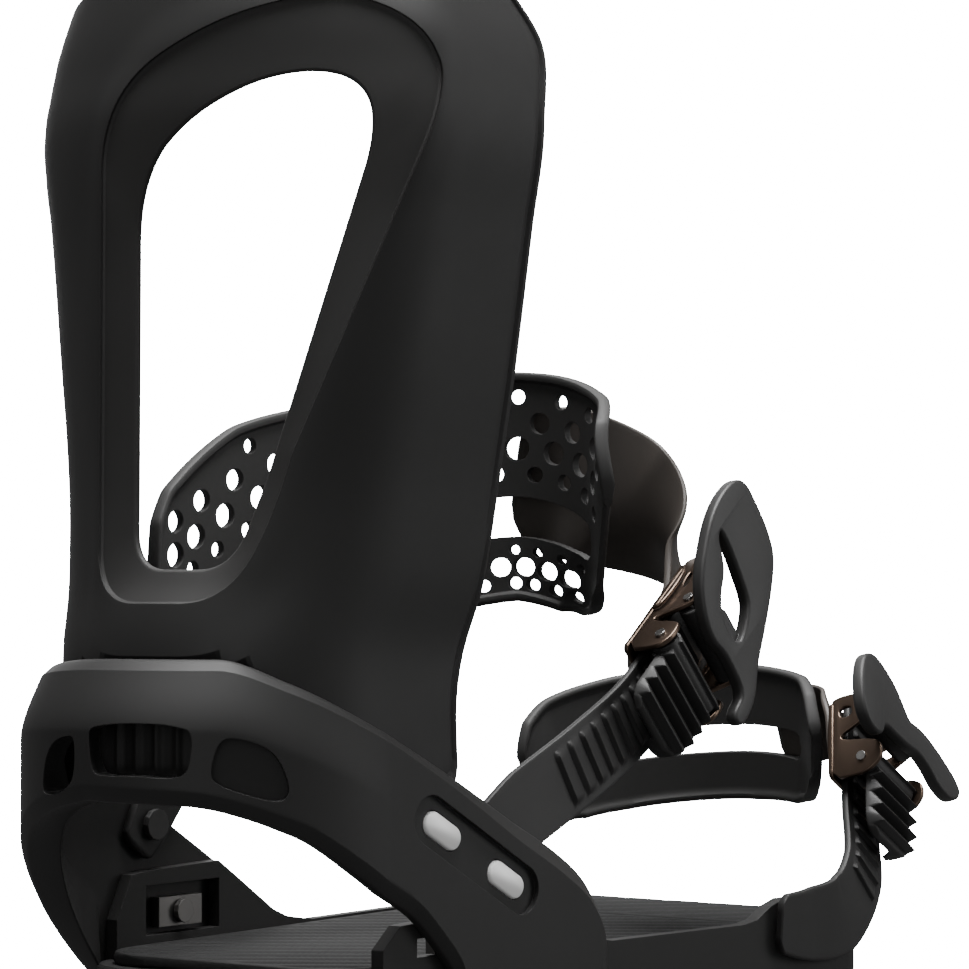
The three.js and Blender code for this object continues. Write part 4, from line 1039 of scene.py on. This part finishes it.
def build_buckle_frame(name, node, body, matrix, cheek, slots, wire=()):
    """Bent metal channel: a floor and two cheeks with slots; a spring wire on the upper one."""
    pieces = [plate(f"{name}_floor", [rounded(cheek[1][0] + 13.5, 2 * CHEEK_IN + 2.8, 1.5)], 1.6,
                    0.35, flat_at(matrix, -4.6)
                    @ Matrix.Translation(((cheek[1][0] - 13.5) / 2, 0, 0)))]
    for i, top in enumerate((CHEEK_IN + CHEEK_WALL, -CHEEK_IN)):
        pieces.append(plate(f"{name}_cheek_{i}", [soft_loop(cheek, 2)]
                            + [soft_loop(s, 2)[::-1] for s in slots],
                            CHEEK_WALL, 0.4, upright_at(matrix, top)))
    if wire:
        pieces.append(tube(f"{name}_wire", wire, 0.55, matrix))
    finish_piece(joined(pieces), body, [node], "bronze")


def build_buckles():
    build_wing("ankle", "ankle_ratchet_lever", "ankle_ratchet", ANKLE_BUCKLE, ANKLE_WING,
               [ANKLE_WING_SLOT])
    build_wing("toe", "toe_ratchet_lever", "toe_ratchet", TOE_BUCKLE, TOE_WING, [])
    build_tongue("ankle", "ankle_release_lever", "ankle_release", ANKLE_BUCKLE)
    build_tongue("toe", "toe_release_lever", "toe_release", TOE_BUCKLE)
    build_buckle_frame("ankle_frame", "ankle_buckle_frame", "base", ANKLE_BUCKLE, ANKLE_CHEEK,
                       [[(14, 1.6), (22, 0.2), (22.6, 2.4), (14.6, 4)]],
                       [(24, 16.0, -2.2), (22, 16.2, -0.6), (16, 16.4, 0.6), (5, 16.3, -0.4),
                        (4, 16.0, -2.6)])
    build_buckle_frame("toe_frame", "toe_buckle_frame", "toe_strap", TOE_BUCKLE, TOE_CHEEK,
                       [[(10.6, -1.5), (11, 3.6), (6.6, 4), (6.2, -0.8)]])


# ---- foam: footbed, toe ramp and gaskets -----------------------------------------------
BASE_REAR, BASE_FRONT, BASE_CORNER = -84, 157, 24
DISC_CUT = 52.2             # the gaskets stop this far from the middle of the disc


def plan_half(x, inset):
    """Half width of the base this far inside its edge, round corners included."""
    x = np.asarray(x, float)
    half = rail_half(x) - inset
    radius = BASE_CORNER - inset
    for end, way in ((BASE_REAR + inset, 1), (BASE_FRONT - inset, -1)):
        t = np.sqrt(np.clip((x - end) * way / radius, 0, 1))
        wall, side = rail_half(end) - inset, rail_half(end + way * radius) - inset
        bend = (1 - t) ** 2 * (wall - radius) + 2 * t * (1 - t) * wall + t * t * side
        half = np.where((x - end) * way < radius, bend, half)
    return half


def foam_slab(name, first, last, half_at, top_at):
    """A moulded foam pad: a plain rim, slanting ribs inside it, rounded edges all round."""
    rows, columns = int((last - first) / 1.1), 96
    x = (first + (last - first) * (even(rows, 0.5) * 0.5 + 0.5))[:, None]
    y = half_at(x) * even(columns, 0.5)[None, :]
    x = x + 0 * y
    edge = np.minimum(half_at(x) - abs(y), np.minimum(x - first, last - x))
    wave = 0.5 + 0.5 * np.cos(2 * np.pi * (0.82 * x + 0.57 * y) / 9)
    groove = 0.8 * (1 - ease(0.2, 0.6, wave)) * ease(3, 4.2, edge)
    top = top_at(x) - groove - fillet(edge, 1.3)
    face = np.stack([x, y, top], -1)
    reverse = np.stack([x, y, 8.9 + fillet(edge, 0.5)], -1)
    return skin(name, face, reverse, smooth_angle=30)


def ramp_half(x):
    u = (x - 99) / 48
    return rail_half(x) - 5.5 - 45 * np.maximum(0, u - 0.55) ** 2


def ramp_top(x):
    u = (x - 99) / 48
    return 12 + 1.6 * np.sin(np.pi * u / 2) - 30 * np.maximum(0, u - 0.7) ** 2


def build_foam():
    bed = foam_slab("footbed", BASE_REAR + 4.5, 98, lambda x: plan_half(x, 4.5),
                    lambda x: 12 + 0 * x)
    finish_piece(bed, "base", ["footbed_pad"], "foam")
    ramp = foam_slab("toe_ramp", 99, 147, ramp_half, ramp_top)
    finish_piece(ramp, "base", ["toe_ramp_pad"], "foam")
    inset = 3.7
    for name, way, end in (("gasket_heel", -1, BASE_REAR + inset),
                           ("gasket_toe", 1, BASE_FRONT - inset)):
        turn = math.acos(17 / DISC_CUT)
        arc = [(way * DISC_CUT * math.cos(a), DISC_CUT * math.sin(a))
               for a in np.linspace(-turn, turn, 40)]
        t = np.linspace(0, 1, 60)
        along = 17 * way + (end - 17 * way) * (1 - (1 - t) ** 2)
        side = plan_half(along, inset)
        outline = arc + list(zip(along, side)) + list(zip(along[::-1], -side[::-1]))
        if way > 0:
            outline = outline[::-1]
        pad = plate(f"{name}_pad", [outline], 2.5, 0.7, Matrix.Translation((0, 0, -9)))
        finish_piece(pad, "base", [name], "foam")


# ---- CAD pieces that keep their shape ------------------------------------------------
def dress(node, material, bevel=0.0):
    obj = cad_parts[node]
    paint(obj, material)
    if bevel:
        soften = obj.modifiers.new("soft_edges", "BEVEL")
        soften.width = bevel * MM
        soften.segments = 2
        soften.limit_method = "ANGLE"
        soften.angle_limit = math.radians(35)
        soften.use_clamp_overlap = True
    shade(obj, 35)


def dress_cad():
    for node in ("baseplate", "mounting_disc"):
        dress(node, "base_nylon")
    for i in range(4):
        dress(f"disc_screw_{i + 1}", "steel")
    for side in ("near", "far"):
        dress(f"hoop_clamp_block_{side}", "dull_steel", 0.3)
        dress(f"hoop_clamp_screw_{side}", "dull_steel")
        # the steel hinge pins take the dark lever material: painted shade where they sit inside the
        # heel
        dress(f"highback_hinge_pin_{side}", "lever")
        dress(f"toe_bolt_{side}", "dull_steel")
    dress("ankle_far_bolt", "lever")
    for strap in ("ankle", "toe"):
        for part in ("ratchet_pin", "release_pin", "frame_rivet"):
            dress(f"{strap}_{part}", "steel")


# ---- stage ------------------------------------------------------------------------
def plain(name, colour, strength):
    material = bpy.data.materials.new(name)
    material.use_nodes = True
    principled = material.node_tree.nodes["Principled BSDF"]
    principled.inputs["Base Color"].default_value = (*colour, 1)
    principled.inputs["Roughness"].default_value = 0.9
    principled.inputs["Emission Color"].default_value = (1, 1, 1, 1)
    principled.inputs["Emission Strength"].default_value = strength
    return material


def area_light(name, place, target, size, power):
    data = bpy.data.lights.new(name, "AREA")
    data.shape = "RECTANGLE"
    data.size, data.size_y = size
    data.energy = power
    light = bpy.data.objects.new(name, data)
    light.location = place
    light.rotation_euler = (Vector(target) - Vector(place)).to_track_quat("-Z", "Y").to_euler()
    bpy.context.scene.collection.objects.link(light)


def build_stage():
    floor_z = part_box("gasket_heel")[0].z
    mesh = bpy.data.meshes.new("floor")
    reach = 40.0
    mesh.from_pydata([(-reach, -reach, floor_z), (reach, -reach, floor_z),
                      (reach, reach, floor_z), (-reach, reach, floor_z)], [], [(0, 1, 2, 3)])
    floor = bpy.data.objects.new("floor", mesh)
    bpy.context.scene.collection.objects.link(floor)
    mesh.materials.append(plain("floor_white", (0.9, 0.9, 0.9), 38.0))
    floor.visible_diffuse = False
    floor.visible_glossy = False

    world = bpy.data.worlds.new("studio")
    bpy.context.scene.world = world
    world.use_nodes = True
    tree = world.node_tree
    back = tree.nodes["Background"]
    back.inputs["Color"].default_value = (1, 1, 1, 1)
    back.inputs["Strength"].default_value = 0.22
    bright = tree.nodes.new("ShaderNodeBackground")
    bright.inputs["Strength"].default_value = 40.0
    rays = tree.nodes.new("ShaderNodeLightPath")
    mix = tree.nodes.new("ShaderNodeMixShader")
    link(tree, rays, "Is Camera Ray", mix, "Fac")
    tree.links.new(back.outputs[0], mix.inputs[1])
    tree.links.new(bright.outputs[0], mix.inputs[2])
    tree.links.new(mix.outputs[0], tree.nodes["World Output"].inputs["Surface"])

    middle = (0.03, 0.0, 0.14)
    area_light("top", (0.0, -0.1, 1.7), middle, (1.0, 1.0), 88)
    area_light("rear", (-1.4, -0.7, 0.35), middle, (0.8, 1.2), 3.5)
    area_light("far_fill", (1.2, 1.4, 0.8), middle, (1.0, 1.0), 9)
    area_light("side", (1.2, -1.5, 0.6), middle, (0.8, 1.2), 9)


VIEW_TURN = math.radians(37)         # the camera looks this far from +X towards +Y
VIEW_RISE = math.radians(1.726536)   # and this far above level
LENS, SENSOR = 130.03096, 36.0       # millimetres


def build_camera():
    data = bpy.data.cameras.new("camera")
    data.sensor_width = SENSOR
    data.lens = LENS
    data.clip_start, data.clip_end = 0.05, 200
    camera = bpy.data.objects.new("camera", data)
    look = Vector((math.cos(VIEW_TURN) * math.cos(VIEW_RISE),
                   math.sin(VIEW_TURN) * math.cos(VIEW_RISE), math.sin(VIEW_RISE)))
    camera.location = (-0.7833, -0.6221, 0.1200)
    camera.rotation_euler = look.to_track_quat("-Z", "Y").to_euler()
    bpy.context.scene.collection.objects.link(camera)
    bpy.context.scene.camera = camera


build_highback()
build_lean_block()
build_hoop()
build_pegs()
build_ankle()
build_toe()
build_buckles()
build_foam()
dress_cad()
build_stage()
build_camera()
